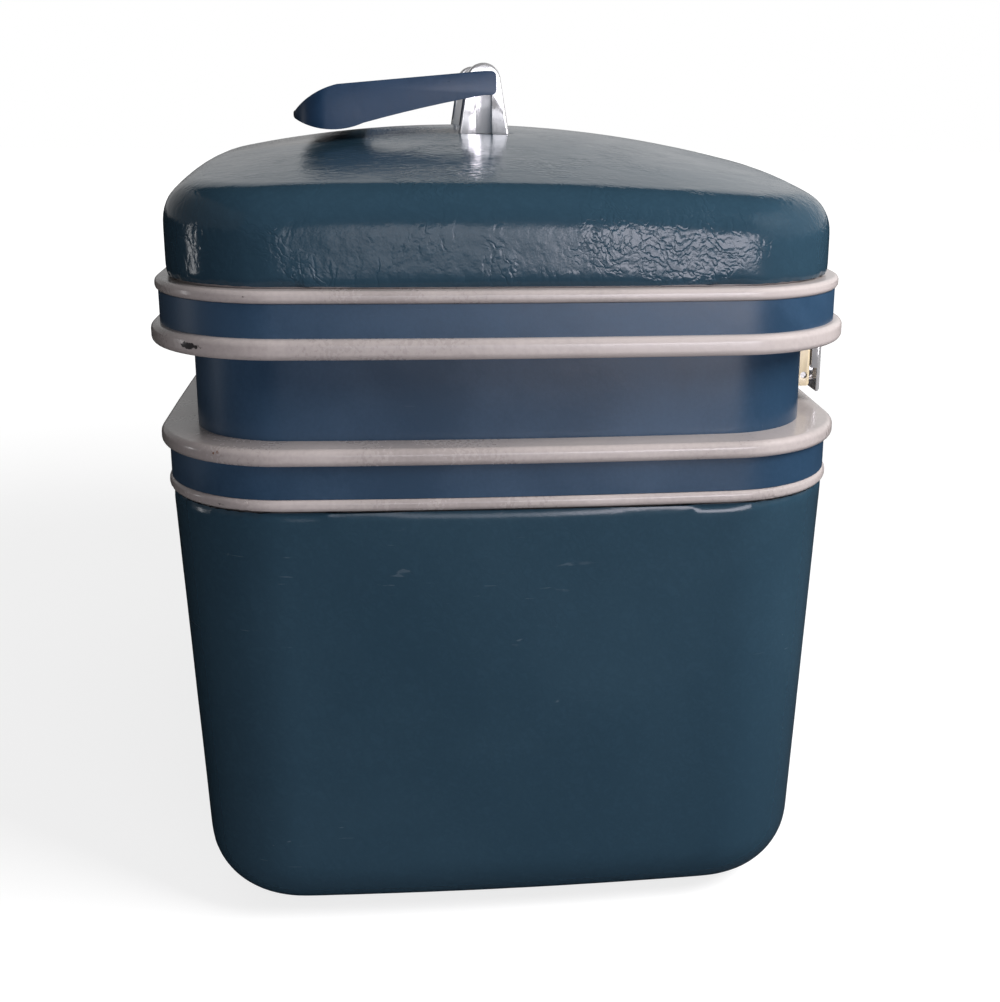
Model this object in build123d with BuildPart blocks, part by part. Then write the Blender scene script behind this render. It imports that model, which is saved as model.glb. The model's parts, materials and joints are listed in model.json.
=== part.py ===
"""Hard-sided cosmetic train case: tapered body, domed lid, painted frames, swing handle, two latches.

Millimetres, +Z up. The origin lies on the floor under the middle of the case.
X runs along the case's length, the latches are on the -Y side and the hinges on the +Y side.
"""
import os
from math import atan2, degrees, hypot, sqrt

from build123d import *

# Outline of the lid's thick bead in plan: four bowed sides and round corners
half_length = 167.0
half_depth = 118.1
end_bow = 4.0
side_bow = 3.0
corner_radius = 47.0

# Heights, from the floor up
foot_height = 2.5
body_height = 155.7
thin_bead_height = 4.2
body_band_height = 11.3
ledge_height = 5.8
neck_height = 29.1
thick_bead_height = 6.7
lid_band_height = 10.9
lid_wall_height = 28.4
side_arch = 6.5
end_arch = 4.6
cross_arch = 6.5
crown_fall = 3.6

# How far each surface lies inside the outline of the lid's thick bead
lid_wall_inset = 5.8
lid_bead_inset = 2.0
lid_band_inset = 3.0
neck_inset = 13.3
body_bead_inset = 1.2
body_band_inset = 3.7
body_thin_inset = 2.9
body_wall_inset = 3.9
body_foot_inset = 10.6

# Walls, seats and roundings
shell_wall = 2.2
band_wall = 1.2
frame_wall = 1.7
lining_wall = 1.0
tuck_depth = 14.0
lid_tuck_depth = 10.0
tongue_height = 5.0
tongue_step = 2.2
tongue_wall = 1.4
tongue_gap = 0.5
foot_rounding = 24.0
lid_rounding = 14.0
thin_bead_rounding = 1.7
thick_bead_rounding = 2.2
seam = 0.1
seat_gap = 0.3
running_gap = 0.05

# Handle, its posts and what holds them
post_spacing = 100.0
post_offset = 3.0
post_depth = 13.0
post_width = 19.2
post_neck_width = 13.0
post_shoulder = 20.0
post_height = 26.1
post_groove_width = 6.2
post_groove_depth = 1.5
post_sink = 5.0
pivot_height = 18.6
pivot_radius = 2.0
arm_gap = 0.5
arm_width = 7.2
arm_end_half = 4.4
arm_corner = 2.0
pin_grip = 4.2
grip_reach = 72.5
grip_drop = 12.0
grip_start = 47.0
grip_thickness = 16.5
grip_corner = 13.0
post_screw_spacing = 10.0
post_screw_radius = 1.5
post_screw_grip = 9.0
plate_length = 24.0
plate_width = 20.0
plate_thickness = 2.0
plate_slack = 0.96

# Hinges in the back channel
hinge_spacing = 110.0
hinge_width = 32.0
hinge_leaf = 1.5
hinge_knuckle_radius = 3.0
hinge_pin_radius = 1.5
hinge_axis_reach = 5.6
hinge_axis_drop = 7.0
hinge_middle_width = 14.0
hinge_side_gap = 0.3
rivet_radius = 1.5
rivet_head_radius = 3.0
rivet_head = 1.0
rivet_spacing = 20.0

# Latches in the front channel
latch_spacing = 184.0
latch_width = 34.0
latch_cheek = 4.0
latch_base_reach = 8.6
latch_base_rise = 5.8
latch_top_gap = 3.2
latch_back_wall = 2.5
latch_floor_cut = 1.0
latch_rivet_rise = 13.3
latch_rivet_spacing = 16.0
hasp_reach = 12.7
hasp_plate = 1.6
hasp_rise = 3.6
hasp_top_gap = 2.4
hasp_rim = 1.6
hasp_rounding = 1.4
latch_pin_reach = 6.2
latch_pin_rise = 9.8
latch_pin_radius = 1.25
lug_offset = 10.5
lug_width = 3.0
lug_radius = 2.7
hook_drop = 5.2
hook_thickness = 1.7
hook_width = 22.0
hook_tip_reach = 5.0
hook_tip = 1.2
hook_tip_drop = 1.7
catch_web_reach = 3.0
catch_web = 1.4
catch_lip_reach = 6.4
catch_lip = 1.7
catch_plate = 1.5
catch_width = 20.0
button_width = 10.0
button_height = 6.2
button_rise = 16.5
button_proud = 0.5
button_travel = 3.0
button_flange = 1.5
button_lap = 0.8
bolt_height = 2.8
bolt_depth = 1.6
bolt_reach = 5.5
bolt_engagement = 1.6
lock_radius = 3.0
lock_rise = 9.0
spring_thickness = 0.5
spring_width = 5.0
spring_reach = 4.0
spring_rise = 7.0

# Folding stay inside the right end
lid_open_angle = 100.0
stay_body_y = 45.0
stay_lid_y = 32.0
stay_width = 8.0
stay_thickness = 1.4
stay_gap = 0.3
stay_pin_radius = 1.6
stay_body_drop = 18.8
stay_lid_rise = 8.4
stay_inset = 19.0

# Tray, its rails, mirror and lining
tray_side_gap = 3.0
tray_depth = 44.0
tray_top_drop = 12.0
tray_wall = 2.2
tray_divider_place = -18.0
tray_grip_width = 70.0
tray_grip_height = 14.0
rail_length = 110.0
rail_height = 8.0
lining_ceiling_drop = 5.4
mirror_length = 190.0
mirror_width = 120.0
mirror_thickness = 3.0
mirror_rim = 7.0
mirror_rim_height = 5.0
foot_radius = 8.0
foot_stem_radius = 3.0
foot_end_inset = 55.0
foot_side_inset = 46.1

# Levels that follow from the heights
body_low = foot_height
body_top = body_low + body_height
band_low = body_top + thin_bead_height
band_top = band_low + body_band_height
ledge_top = band_top + ledge_height
neck_top = ledge_top + neck_height
lid_low = neck_top
thick_top = lid_low + thick_bead_height
lid_band_top = thick_top + lid_band_height
lid_shell_low = lid_band_top + thin_bead_height
lid_edge = lid_shell_low + lid_wall_height
lid_top = lid_edge + side_arch + end_arch + cross_arch

# Insets that follow from the walls
body_core_inset = body_band_inset + band_wall + seam
lid_core_inset = lid_band_inset + band_wall + seam
body_taper = (body_foot_inset - body_wall_inset) / body_height
body_tuck_inset = body_wall_inset + body_taper * tuck_depth + shell_wall + seam
body_frame_inner = body_tuck_inset + frame_wall
lid_tuck_inset = lid_wall_inset + shell_wall + seam
lid_frame_inner = lid_tuck_inset + frame_wall
neck_wall_inset = neck_inset + band_wall + seam
neck_inner_inset = neck_wall_inset + frame_wall
flange_inset = neck_inner_inset + tongue_wall
tongue_inset = flange_inset + tongue_gap
tongue_inner_inset = tongue_inset + tongue_wall
stay_plane = half_length - stay_inset

os.makedirs("parts", exist_ok=True)


def keep(piece, name):
    """Label a finished piece and write it to its own file."""
    piece.part.label = name
    export_step(piece.part, f"parts/{name}.step")


def plan(inset, height):
    """Face of the case's bowed outline, drawn in by inset, lying at a height."""
    length = half_length - inset
    depth = half_depth - inset
    with BuildSketch(Plane.XY.offset(height)) as face:
        with BuildLine():
            ThreePointArc((-length, -depth), (0, -depth - side_bow), (length, -depth))
            ThreePointArc((length, -depth), (length + end_bow, 0), (length, depth))
            ThreePointArc((length, depth), (0, depth + side_bow), (-length, depth))
            ThreePointArc((-length, depth), (-length - end_bow, 0), (-length, -depth))
        make_face()
        fillet(face.vertices(), corner_radius - inset)
    return face.sketch


def side_reach(x, inset):
    """Distance from the middle plane to the bowed long side at x."""
    chord = half_length - inset
    bow_radius = (chord ** 2 + side_bow ** 2) / (2 * side_bow)
    return half_depth - inset + side_bow - bow_radius + sqrt(bow_radius ** 2 - x ** 2)


def end_reach(y, inset):
    """Distance from the middle plane to the bowed short end at y."""
    chord = half_depth - inset
    bow_radius = (chord ** 2 + end_bow ** 2) / (2 * end_bow)
    return half_length - inset + end_bow - bow_radius + sqrt(bow_radius ** 2 - y ** 2)


def column(inset, low, high):
    """Solid column on the outline, between two heights."""
    with BuildPart() as solid:
        extrude(plan(inset, low), amount=high - low)
    return solid.part


def hoop(outer, inner, low, high, rounding=0.0):
    """Closed hoop on the outline, its outer edges rounded."""
    with BuildPart() as ring:
        extrude(plan(outer, low), amount=high - low)
        if rounding > 0:
            levels = ring.edges().group_by(Axis.Z)
            fillet(levels[0] + levels[-1], rounding)
        extrude(plan(inner, low), amount=high - low, mode=Mode.SUBTRACT)
    return ring.part


def wall_inset(height):
    """Inset of the tapered body wall's outside at a height."""
    share = (body_top - height) / body_height
    return body_wall_inset + (body_foot_inset - body_wall_inset) * share


def tub(low_inset, high_inset, low, high, rounding):
    """Tapered solid between two heights with a round foot."""
    with BuildPart() as solid:
        loft([plan(low_inset, low), plan(high_inset, high)], ruled=True)
        fillet(solid.edges().group_by(Axis.Z)[0], rounding)
    return solid.part


def crown_level(x, y):
    """Height of the lid's crown: it arches both ways and falls towards the front."""
    flat_length = half_length + end_bow - lid_wall_inset - lid_rounding
    flat_depth = half_depth + side_bow - lid_wall_inset - lid_rounding
    along = 1 - (x / flat_length) ** 2
    across = 1 - (y / flat_depth) ** 2
    rise = side_arch * along + end_arch * across + cross_arch * along * across
    return lid_edge + rise + crown_fall / 2 * y / flat_depth


def crown_block(sunk):
    """Solid under the lid's doubly curved crown, lowered by sunk."""
    flat_length = half_length + end_bow - lid_wall_inset - lid_rounding
    low = lid_low - 1
    with BuildPart() as block:
        for share in (-1.13, -0.9, -0.68, -0.36, 0.0, 0.36, 0.68, 0.9, 1.13):
            x = share * flat_length
            front = (-half_depth, crown_level(x, -half_depth) - sunk)
            back = (half_depth, crown_level(x, half_depth) - sunk)
            with BuildSketch(Plane.YZ.offset(x)):
                with BuildLine():
                    ThreePointArc(front, (0, crown_level(x, 0) - sunk), back)
                    Polyline(back, (half_depth, low), (-half_depth, low), front)
                make_face()
        loft()
    return block.part


def lid_form(inset, sunk, low, rounding):
    """Solid of the lid's outside, drawn in by inset and lowered by sunk."""
    with BuildPart() as solid:
        extrude(plan(inset, low), amount=lid_top - low + 1)
        add(crown_block(sunk), mode=Mode.INTERSECT)
        top = solid.faces().sort_by(Axis.Z)[-1]
        fillet(top.edges(), rounding)
    return solid.part


def cross_plane(x, y, height):
    """Plane across the case at a point: first axis to the back, second axis up."""
    return Plane(origin=(x, y, height), x_dir=(0, 1, 0), z_dir=(1, 0, 0))


def block(plane, corner, opposite, half_width):
    """Block between two (reach, height) corners of a side plane, as wide to both sides."""
    with BuildPart() as piece:
        with BuildSketch(plane):
            with Locations(((corner[0] + opposite[0]) / 2, (corner[1] + opposite[1]) / 2)):
                Rectangle(opposite[0] - corner[0], opposite[1] - corner[1])
        extrude(amount=half_width, both=True)
    return piece.part


def rod(plane, centre, radius, half_width):
    """Round bar across a side plane at a (reach, height) point."""
    with BuildPart() as piece:
        with BuildSketch(plane):
            with Locations(centre):
                Circle(radius)
        extrude(amount=half_width, both=True)
    return piece.part


# Body shell: one moulding, tapered towards the round foot
foot_x = half_length - foot_end_inset
foot_y = half_depth - foot_side_inset
foot_places = {
    "back_left": (-foot_x, foot_y),
    "front_left": (-foot_x, -foot_y),
    "back_right": (foot_x, foot_y),
    "front_right": (foot_x, -foot_y),
}
floor_top = body_low + shell_wall
inner_foot_inset = wall_inset(floor_top) + shell_wall

with BuildPart() as body_shell:
    add(tub(body_foot_inset, body_wall_inset, body_low, body_top, foot_rounding))
    add(tub(inner_foot_inset, body_wall_inset + shell_wall, floor_top, body_top, foot_rounding - shell_wall),
        mode=Mode.SUBTRACT)
    with Locations(*[(x, y, body_low) for x, y in foot_places.values()]):
        Cylinder(foot_stem_radius + seam, 4 * shell_wall, mode=Mode.SUBTRACT)
keep(body_shell, "body_shell")

# Feet: plain round studs, pushed into the floor of the body
for foot_name, foot_place in foot_places.items():
    with BuildPart() as foot:
        with BuildSketch(Plane.XY):
            with Locations(foot_place):
                Circle(foot_radius)
        extrude(amount=foot_height)
        fillet(foot.edges().sort_by(Axis.Z)[0], foot_height * 0.6)
        with BuildSketch(Plane.XY):
            with Locations(foot_place):
                Circle(foot_stem_radius)
        extrude(amount=floor_top)
    keep(foot, f"foot_{foot_name}")

# Places of the fittings along the case
hinge_places = {"left": -hinge_spacing / 2, "right": hinge_spacing / 2}
latch_places = {"left": -latch_spacing / 2, "right": latch_spacing / 2}
post_places = {"left": -post_spacing / 2, "right": post_spacing / 2}
hinge_height = neck_top - hinge_axis_drop
body_rivet_height = ledge_top + (neck_height - hinge_axis_drop - hinge_knuckle_radius) / 2
lid_rivet_reach = rivet_radius + seat_gap
latch_rivet_height = ledge_top + latch_rivet_rise


def back_plane(x):
    """Plane across the case at x: first axis out of the back of the neck, second axis up."""
    return Plane(origin=(x, side_reach(x, neck_inset), 0), x_dir=(0, 1, 0), z_dir=(1, 0, 0))


def front_plane(x):
    """Plane across the case at x: first axis out of the front of the neck, second axis up."""
    return Plane(origin=(x, -side_reach(x, neck_inset), 0), x_dir=(0, -1, 0), z_dir=(-1, 0, 0))


def cross_bars(side, places, spacing, height, radius):
    """Round bars along Y through the front (-1) or back (1) of the neck, two beside each middle."""
    with BuildPart() as bars:
        for middle in places.values():
            for x in (middle - spacing / 2, middle + spacing / 2):
                face = side * (side_reach(x, neck_inset) - 3 * (band_wall + frame_wall))
                plane = Plane(origin=(x, face, height), x_dir=(1, 0, 0), z_dir=(0, side, 0))
                with BuildSketch(plane):
                    Circle(radius)
                extrude(amount=6 * (band_wall + frame_wall))
    return bars.part


neck_holes = [
    cross_bars(1, hinge_places, rivet_spacing, body_rivet_height, rivet_radius + running_gap),
    cross_bars(-1, latch_places, latch_rivet_spacing, latch_rivet_height, rivet_radius + running_gap),
]

# Body frame: thin bead, band core, thick bead with its ledge, neck wall and tongue
with BuildPart() as body_frame:
    add(hoop(body_thin_inset, body_frame_inner, body_top, band_low, thin_bead_rounding))
    add(hoop(body_tuck_inset, body_frame_inner, body_top - tuck_depth, body_top))
    add(hoop(body_core_inset, body_frame_inner, band_low, band_top))
    add(hoop(body_bead_inset, body_frame_inner, band_top, ledge_top, thick_bead_rounding))
    add(hoop(body_tuck_inset, neck_inner_inset, ledge_top - frame_wall, ledge_top))
    add(hoop(neck_wall_inset, neck_inner_inset, ledge_top, neck_top - seam))
    add(hoop(neck_wall_inset, tongue_inner_inset, neck_top - 4 * tongue_step, neck_top - 3 * tongue_step))
    add(hoop(tongue_inset, tongue_inner_inset, neck_top - 3 * tongue_step, neck_top + tongue_height))
    for hole in neck_holes:
        add(hole, mode=Mode.SUBTRACT)
keep(body_frame, "body_frame")

with BuildPart() as body_band:
    add(hoop(body_band_inset, body_band_inset + band_wall, band_low, band_top))
keep(body_band, "body_band")

with BuildPart() as neck_band:
    add(hoop(neck_inset, neck_inset + band_wall, ledge_top, neck_top - seam))
    for hole in neck_holes:
        add(hole, mode=Mode.SUBTRACT)
keep(neck_band, "neck_band")

# Body lining: a board tub between the floor and the ledge
lining_low = floor_top + seat_gap
lining_high = ledge_top - frame_wall - seam
lining_foot_inset = inner_foot_inset + seat_gap
lining_top_inset = body_frame_inner + seat_gap
lining_rounding = foot_rounding - shell_wall - seat_gap
with BuildPart() as body_lining:
    add(tub(lining_foot_inset, lining_top_inset, lining_low, lining_high, lining_rounding))
    add(tub(lining_foot_inset + lining_wall, lining_top_inset + lining_wall, lining_low + lining_wall,
            lining_high, lining_rounding - lining_wall), mode=Mode.SUBTRACT)
keep(body_lining, "body_lining")

# Tray: an open box with a lengthways divider that has a finger slot, and two cross dividers
tray_top = neck_top - tray_top_drop
tray_low = tray_top - tray_depth
tray_half_length = stay_plane - 2 * stay_thickness - stay_gap - tray_side_gap
tray_half_depth = half_depth - tongue_inner_inset - tray_side_gap
tray_corner = corner_radius - tongue_inner_inset
with BuildPart() as tray:
    with BuildSketch(Plane.XY.offset(tray_low)):
        RectangleRounded(2 * tray_half_length, 2 * tray_half_depth, tray_corner)
    extrude(amount=tray_depth)
    fillet(tray.edges().group_by(Axis.Z)[0], tray_corner / 6)
    with BuildSketch(Plane.XY.offset(tray_low + tray_wall)):
        RectangleRounded(2 * (tray_half_length - tray_wall), 2 * (tray_half_depth - tray_wall),
                         tray_corner - tray_wall)
    extrude(amount=tray_depth, mode=Mode.SUBTRACT)
    with Locations((0, tray_divider_place, tray_low + tray_depth / 2)):
        Box(2 * tray_half_length - tray_wall, tray_wall, tray_depth)
    for x in (-tray_half_length / 3, tray_half_length / 3):
        back_room = tray_half_depth - tray_divider_place - tray_wall
        with Locations((x, tray_divider_place + back_room / 2 + tray_wall / 2, tray_low + tray_depth * 0.4)):
            Box(tray_wall, back_room, tray_depth * 0.8)
    with BuildSketch(Plane.XZ.offset(-tray_divider_place - tray_wall)):
        with Locations((0, tray_top - tray_grip_height)):
            SlotOverall(tray_grip_width, tray_grip_height)
    extrude(amount=2 * tray_wall, mode=Mode.SUBTRACT)
keep(tray, "tray")

# Rails that carry the tray's ends, glued to the lining
for side_name, side in (("left", -1), ("right", 1)):
    rail_inner = tray_half_length - 2 * rail_height
    with BuildPart() as rail:
        with Locations((side * (rail_inner + half_length) / 2, 0, tray_low - rail_height / 2)):
            Box(half_length - rail_inner, rail_length, rail_height)
        add(tub(lining_foot_inset + lining_wall, lining_top_inset + lining_wall, lining_low + lining_wall,
                lining_high, lining_rounding - lining_wall), mode=Mode.INTERSECT)
    keep(rail, f"tray_rail_{side_name}")

# Lid frame: thick bead with its flange, band core, thin bead and the upstand behind the shell
with BuildPart() as lid_frame:
    add(hoop(0, lid_frame_inner, lid_low, thick_top, thick_bead_rounding))
    add(hoop(lid_tuck_inset, flange_inset, lid_low, lid_low + frame_wall))
    add(hoop(lid_core_inset, lid_frame_inner, thick_top, lid_band_top))
    add(hoop(lid_bead_inset, lid_frame_inner, lid_band_top, lid_shell_low, thin_bead_rounding))
    add(hoop(lid_tuck_inset, lid_frame_inner, lid_shell_low, lid_shell_low + lid_tuck_depth))
    for middle in hinge_places.values():
        for x in (middle - rivet_spacing / 2, middle + rivet_spacing / 2):
            with Locations((x, side_reach(x, neck_inset) + lid_rivet_reach, lid_low)):
                Cylinder(rivet_radius + running_gap, 3 * thick_bead_height, mode=Mode.SUBTRACT)
keep(lid_frame, "lid_frame")

with BuildPart() as lid_band:
    add(hoop(lid_band_inset, lid_band_inset + band_wall, thick_top, lid_band_top))
keep(lid_band, "lid_band")

# Lid shell: one moulding with a doubly curved crown
lid_outside = lid_form(lid_wall_inset, 0, lid_shell_low, lid_rounding)
lid_inside = lid_form(lid_wall_inset + shell_wall, shell_wall, lid_shell_low, lid_rounding - shell_wall)
post_base = crown_level(post_spacing / 2, post_offset)
post_screws = [(x, post_offset + side * post_screw_spacing / 2)
               for x in post_places.values() for side in (-1, 1)]
with BuildPart() as lid_shell:
    add(lid_outside)
    add(lid_inside, mode=Mode.SUBTRACT)
    with Locations(*[(x, y, post_base) for x, y in post_screws]):
        Cylinder(post_screw_radius + seam, 6 * shell_wall, mode=Mode.SUBTRACT)
keep(lid_shell, "lid_shell")

# Lid lining: a board shell with a flat ceiling that carries the mirror
ceiling_top = lid_edge - lining_ceiling_drop
lid_lining_inset = lid_frame_inner + seat_gap
lid_lining_rounding = lid_rounding - shell_wall
with BuildPart() as lid_lining:
    add(column(lid_lining_inset, lid_low + frame_wall, ceiling_top))
    fillet(lid_lining.edges().group_by(Axis.Z)[-1], lid_lining_rounding)
    with BuildPart(mode=Mode.SUBTRACT) as hollow:
        add(column(lid_lining_inset + lining_wall, lid_low + frame_wall, ceiling_top - lining_wall))
        fillet(hollow.edges().group_by(Axis.Z)[-1], lid_lining_rounding - lining_wall)
keep(lid_lining, "lid_lining")

# Mirror and its bezel under the ceiling
mirror_back = ceiling_top - lining_wall
with BuildPart() as mirror:
    with BuildSketch(Plane.XY.offset(mirror_back - mirror_thickness)):
        RectangleRounded(mirror_length, mirror_width, mirror_rim)
    extrude(amount=mirror_thickness)
keep(mirror, "mirror")

with BuildPart() as mirror_frame:
    with BuildSketch(Plane.XY.offset(mirror_back - mirror_rim_height)):
        RectangleRounded(mirror_length + 2 * mirror_rim, mirror_width + 2 * mirror_rim, 2 * mirror_rim)
    extrude(amount=mirror_rim_height)
    fillet(mirror_frame.edges().group_by(Axis.Z)[0], mirror_rim / 3)
    with BuildSketch(Plane.XY.offset(mirror_back - mirror_thickness - seam)):
        RectangleRounded(mirror_length + 2 * seam, mirror_width + 2 * seam, mirror_rim)
    extrude(amount=mirror_rim_height, mode=Mode.SUBTRACT)
    with BuildSketch(Plane.XY.offset(mirror_back - mirror_rim_height)):
        RectangleRounded(mirror_length - mirror_rim, mirror_width - mirror_rim, mirror_rim)
    extrude(amount=mirror_rim_height, mode=Mode.SUBTRACT)
keep(mirror_frame, "mirror_frame")

# Handle posts, their pins and the plates under the lid
pivot_level = post_base + pivot_height
plate_low = post_base - shell_wall - plate_thickness - plate_slack
for post_name, post_x in post_places.items():
    outward = 1 if post_x > 0 else -1
    with BuildPart() as post:
        with BuildSketch(cross_plane(post_x, post_offset, post_base)):
            with BuildLine():
                Polyline((-post_neck_width / 2, post_shoulder), (-post_width / 2, 0),
                         (-post_width / 2, -post_sink), (post_width / 2, -post_sink),
                         (post_width / 2, 0), (post_neck_width / 2, post_shoulder))
                ThreePointArc((post_neck_width / 2, post_shoulder), (0, post_height),
                              (-post_neck_width / 2, post_shoulder))
            make_face()
        extrude(amount=post_depth / 2, both=True)
        rims = post.edges().group_by(Axis.X)
        fillet(rims[0] + rims[-1], post_groove_depth / 2)
        groove_top = pivot_height - pivot_radius - post_groove_depth
        for side in (-1, 1):
            groove_middle = post_base + (groove_top - post_sink) / 2
            with Locations((post_x + side * post_depth / 2, post_offset, groove_middle)):
                Box(2 * post_groove_depth, post_groove_width, groove_top + post_sink, mode=Mode.SUBTRACT)
        add(lid_outside, mode=Mode.SUBTRACT)
        with BuildSketch(Plane.YZ.offset(post_x)):
            with Locations((post_offset, pivot_level)):
                Circle(pivot_radius + running_gap)
        extrude(amount=post_depth, both=True, mode=Mode.SUBTRACT)
        with Locations(*[(x, y, post_base) for x, y in post_screws if x == post_x]):
            Cylinder(post_screw_radius + running_gap, 2 * (post_screw_grip - shell_wall - plate_thickness),
                     mode=Mode.SUBTRACT)
    keep(post, f"handle_post_{post_name}")

    with BuildPart() as pivot_pin:
        pin_start = post_x - outward * post_depth / 2
        with BuildSketch(Plane.YZ.offset(pin_start)):
            with Locations((post_offset, pivot_level)):
                Circle(pivot_radius)
        extrude(amount=outward * (post_depth + arm_gap + pin_grip))
    keep(pivot_pin, f"handle_pin_{post_name}")

    with BuildPart() as plate:
        with Locations((post_x, post_offset, plate_low + plate_length / 2)):
            Box(plate_length, plate_width, plate_length)
        add(lid_inside, mode=Mode.INTERSECT)
        with Locations(*[(x, y, plate_low) for x, y in post_screws if x == post_x]):
            Cylinder(post_screw_radius + running_gap, 8 * plate_thickness, mode=Mode.SUBTRACT)
    keep(plate, f"handle_plate_{post_name}")

# Screws that hold the posts from inside the lid
with BuildPart() as post_screw_set:
    for x, y in post_screws:
        with BuildSketch(Plane.XY.offset(plate_low)):
            with Locations((x, y)):
                Circle(post_screw_radius)
        extrude(amount=post_base + post_screw_grip - shell_wall - plate_thickness - plate_low - 2 * seat_gap)
        with BuildSketch(Plane.XY.offset(plate_low)):
            with Locations((x, y)):
                Circle(2 * post_screw_radius)
        extrude(amount=-post_screw_radius)
keep(post_screw_set, "handle_screws")

# Handle: one moulding with a wedge-shaped grip between two arms, lying back on its rest
handle_half = post_spacing / 2 + post_depth / 2 + arm_gap + arm_width
arm_inner = handle_half - arm_width
ridge_reach = 0.76 * grip_reach
ridge_level = -0.07 * grip_drop
brow_reach = 0.885 * grip_reach
brow_level = -0.38 * grip_drop
nose_reach = 0.985 * grip_reach
nose_level = -0.88 * grip_drop
chin_reach = 0.99 * grip_reach
chin_level = -1.13 * grip_drop
belly_reach = 0.82 * grip_reach
belly_level = ridge_level - grip_thickness
waist_reach = 0.63 * grip_reach
waist_level = 0.86 * belly_level
under_reach = 0.33 * grip_reach
under_level = 0.54 * belly_level
corner_middle = arm_end_half - arm_corner * (1 - sqrt(0.5))
bore_half = arm_inner + pin_grip + running_gap
with BuildPart() as handle:
    with BuildSketch(cross_plane(0, post_offset, pivot_level)):
        with BuildLine():
            Line((0, arm_end_half), (arm_corner - arm_end_half, arm_end_half))
            ThreePointArc((arm_corner - arm_end_half, arm_end_half), (-corner_middle, corner_middle),
                          (-arm_end_half, arm_end_half - arm_corner))
            Line((-arm_end_half, arm_end_half - arm_corner), (-arm_end_half, arm_corner - arm_end_half))
            ThreePointArc((-arm_end_half, arm_corner - arm_end_half), (-corner_middle, -corner_middle),
                          (arm_corner - arm_end_half, -arm_end_half))
            Line((arm_corner - arm_end_half, -arm_end_half), (0, -arm_end_half))
            ThreePointArc((0, -arm_end_half), (under_reach, under_level), (waist_reach, waist_level))
            ThreePointArc((waist_reach, waist_level), (belly_reach, belly_level), (chin_reach, chin_level))
            ThreePointArc((chin_reach, chin_level), (grip_reach, -grip_drop), (nose_reach, nose_level))
            ThreePointArc((nose_reach, nose_level), (brow_reach, brow_level), (ridge_reach, ridge_level))
            Line((ridge_reach, ridge_level), (0, arm_end_half))
        make_face()
    extrude(amount=handle_half, both=True)
    with BuildPart(mode=Mode.INTERSECT) as grip_plan:
        with BuildSketch(Plane.XY.offset(pivot_level - 2 * grip_thickness)):
            with Locations((0, post_offset)):
                Rectangle(2 * handle_half, 2 * grip_reach)
        extrude(amount=4 * grip_thickness)
        fillet(grip_plan.edges().filter_by(Axis.Z), grip_corner)
    with BuildSketch(Plane.XY.offset(pivot_level - 2 * grip_thickness)):
        with Locations((0, post_offset)):
            RectangleRounded(2 * arm_inner, 2 * grip_start, grip_corner - arm_width / 4)
    extrude(amount=4 * grip_thickness, mode=Mode.SUBTRACT)
    with BuildSketch(cross_plane(-bore_half, post_offset, pivot_level)):
        Circle(pivot_radius + running_gap)
    extrude(amount=2 * bore_half, mode=Mode.SUBTRACT)
keep(handle, "handle")

# Hinges: a leaf on the neck, a leaf under the lid's bead, and a pin through their knuckles
neck_core = column(neck_inset - running_gap, ledge_top, neck_top)
knuckle_bore = hinge_pin_radius + running_gap
side_knuckle = (hinge_width - hinge_middle_width) / 2 - hinge_side_gap
for hinge_name, hinge_x in hinge_places.items():
    plane = back_plane(hinge_x)
    axis_point = (hinge_axis_reach, hinge_height)
    leaf_low = ledge_top + running_gap
    leaf_high = hinge_height - hinge_knuckle_radius - hinge_side_gap
    with BuildPart() as body_leaf:
        add(block(plane, (-hinge_leaf, leaf_low), (hinge_leaf, leaf_high), hinge_width / 2))
        add(block(plane, (0, leaf_high - 2 * hinge_leaf), (hinge_axis_reach, leaf_high + hinge_side_gap * 2),
                  hinge_middle_width / 2))
        add(rod(plane, axis_point, hinge_knuckle_radius, hinge_middle_width / 2))
        add(rod(plane, axis_point, knuckle_bore, hinge_middle_width), mode=Mode.SUBTRACT)
        add(neck_core, mode=Mode.SUBTRACT)
        add(cross_bars(1, {hinge_name: hinge_x}, rivet_spacing, body_rivet_height,
                       rivet_radius + running_gap), mode=Mode.SUBTRACT)
    keep(body_leaf, f"hinge_body_leaf_{hinge_name}")

    lid_leaf_reach = hinge_axis_reach + hinge_knuckle_radius
    with BuildPart() as lid_leaf:
        add(block(plane, (hinge_leaf / 2, lid_low - hinge_leaf), (lid_leaf_reach, lid_low), hinge_width / 2))
        for side in (-1, 1):
            knuckle_plane = plane.offset(side * (hinge_width - side_knuckle) / 2)
            add(rod(knuckle_plane, axis_point, hinge_knuckle_radius, side_knuckle / 2))
            add(block(knuckle_plane, (hinge_axis_reach, hinge_height), (lid_leaf_reach, lid_low),
                      side_knuckle / 2))
        add(rod(plane, axis_point, knuckle_bore, hinge_width), mode=Mode.SUBTRACT)
        for x in (hinge_x - rivet_spacing / 2, hinge_x + rivet_spacing / 2):
            with Locations((x, side_reach(x, neck_inset) + lid_rivet_reach, lid_low)):
                Cylinder(rivet_radius + running_gap, 4 * hinge_leaf, mode=Mode.SUBTRACT)
    keep(lid_leaf, f"hinge_lid_leaf_{hinge_name}")

    with BuildPart() as hinge_pin:
        add(rod(plane, axis_point, hinge_pin_radius, hinge_width / 2))
    keep(hinge_pin, f"hinge_pin_{hinge_name}")

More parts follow.
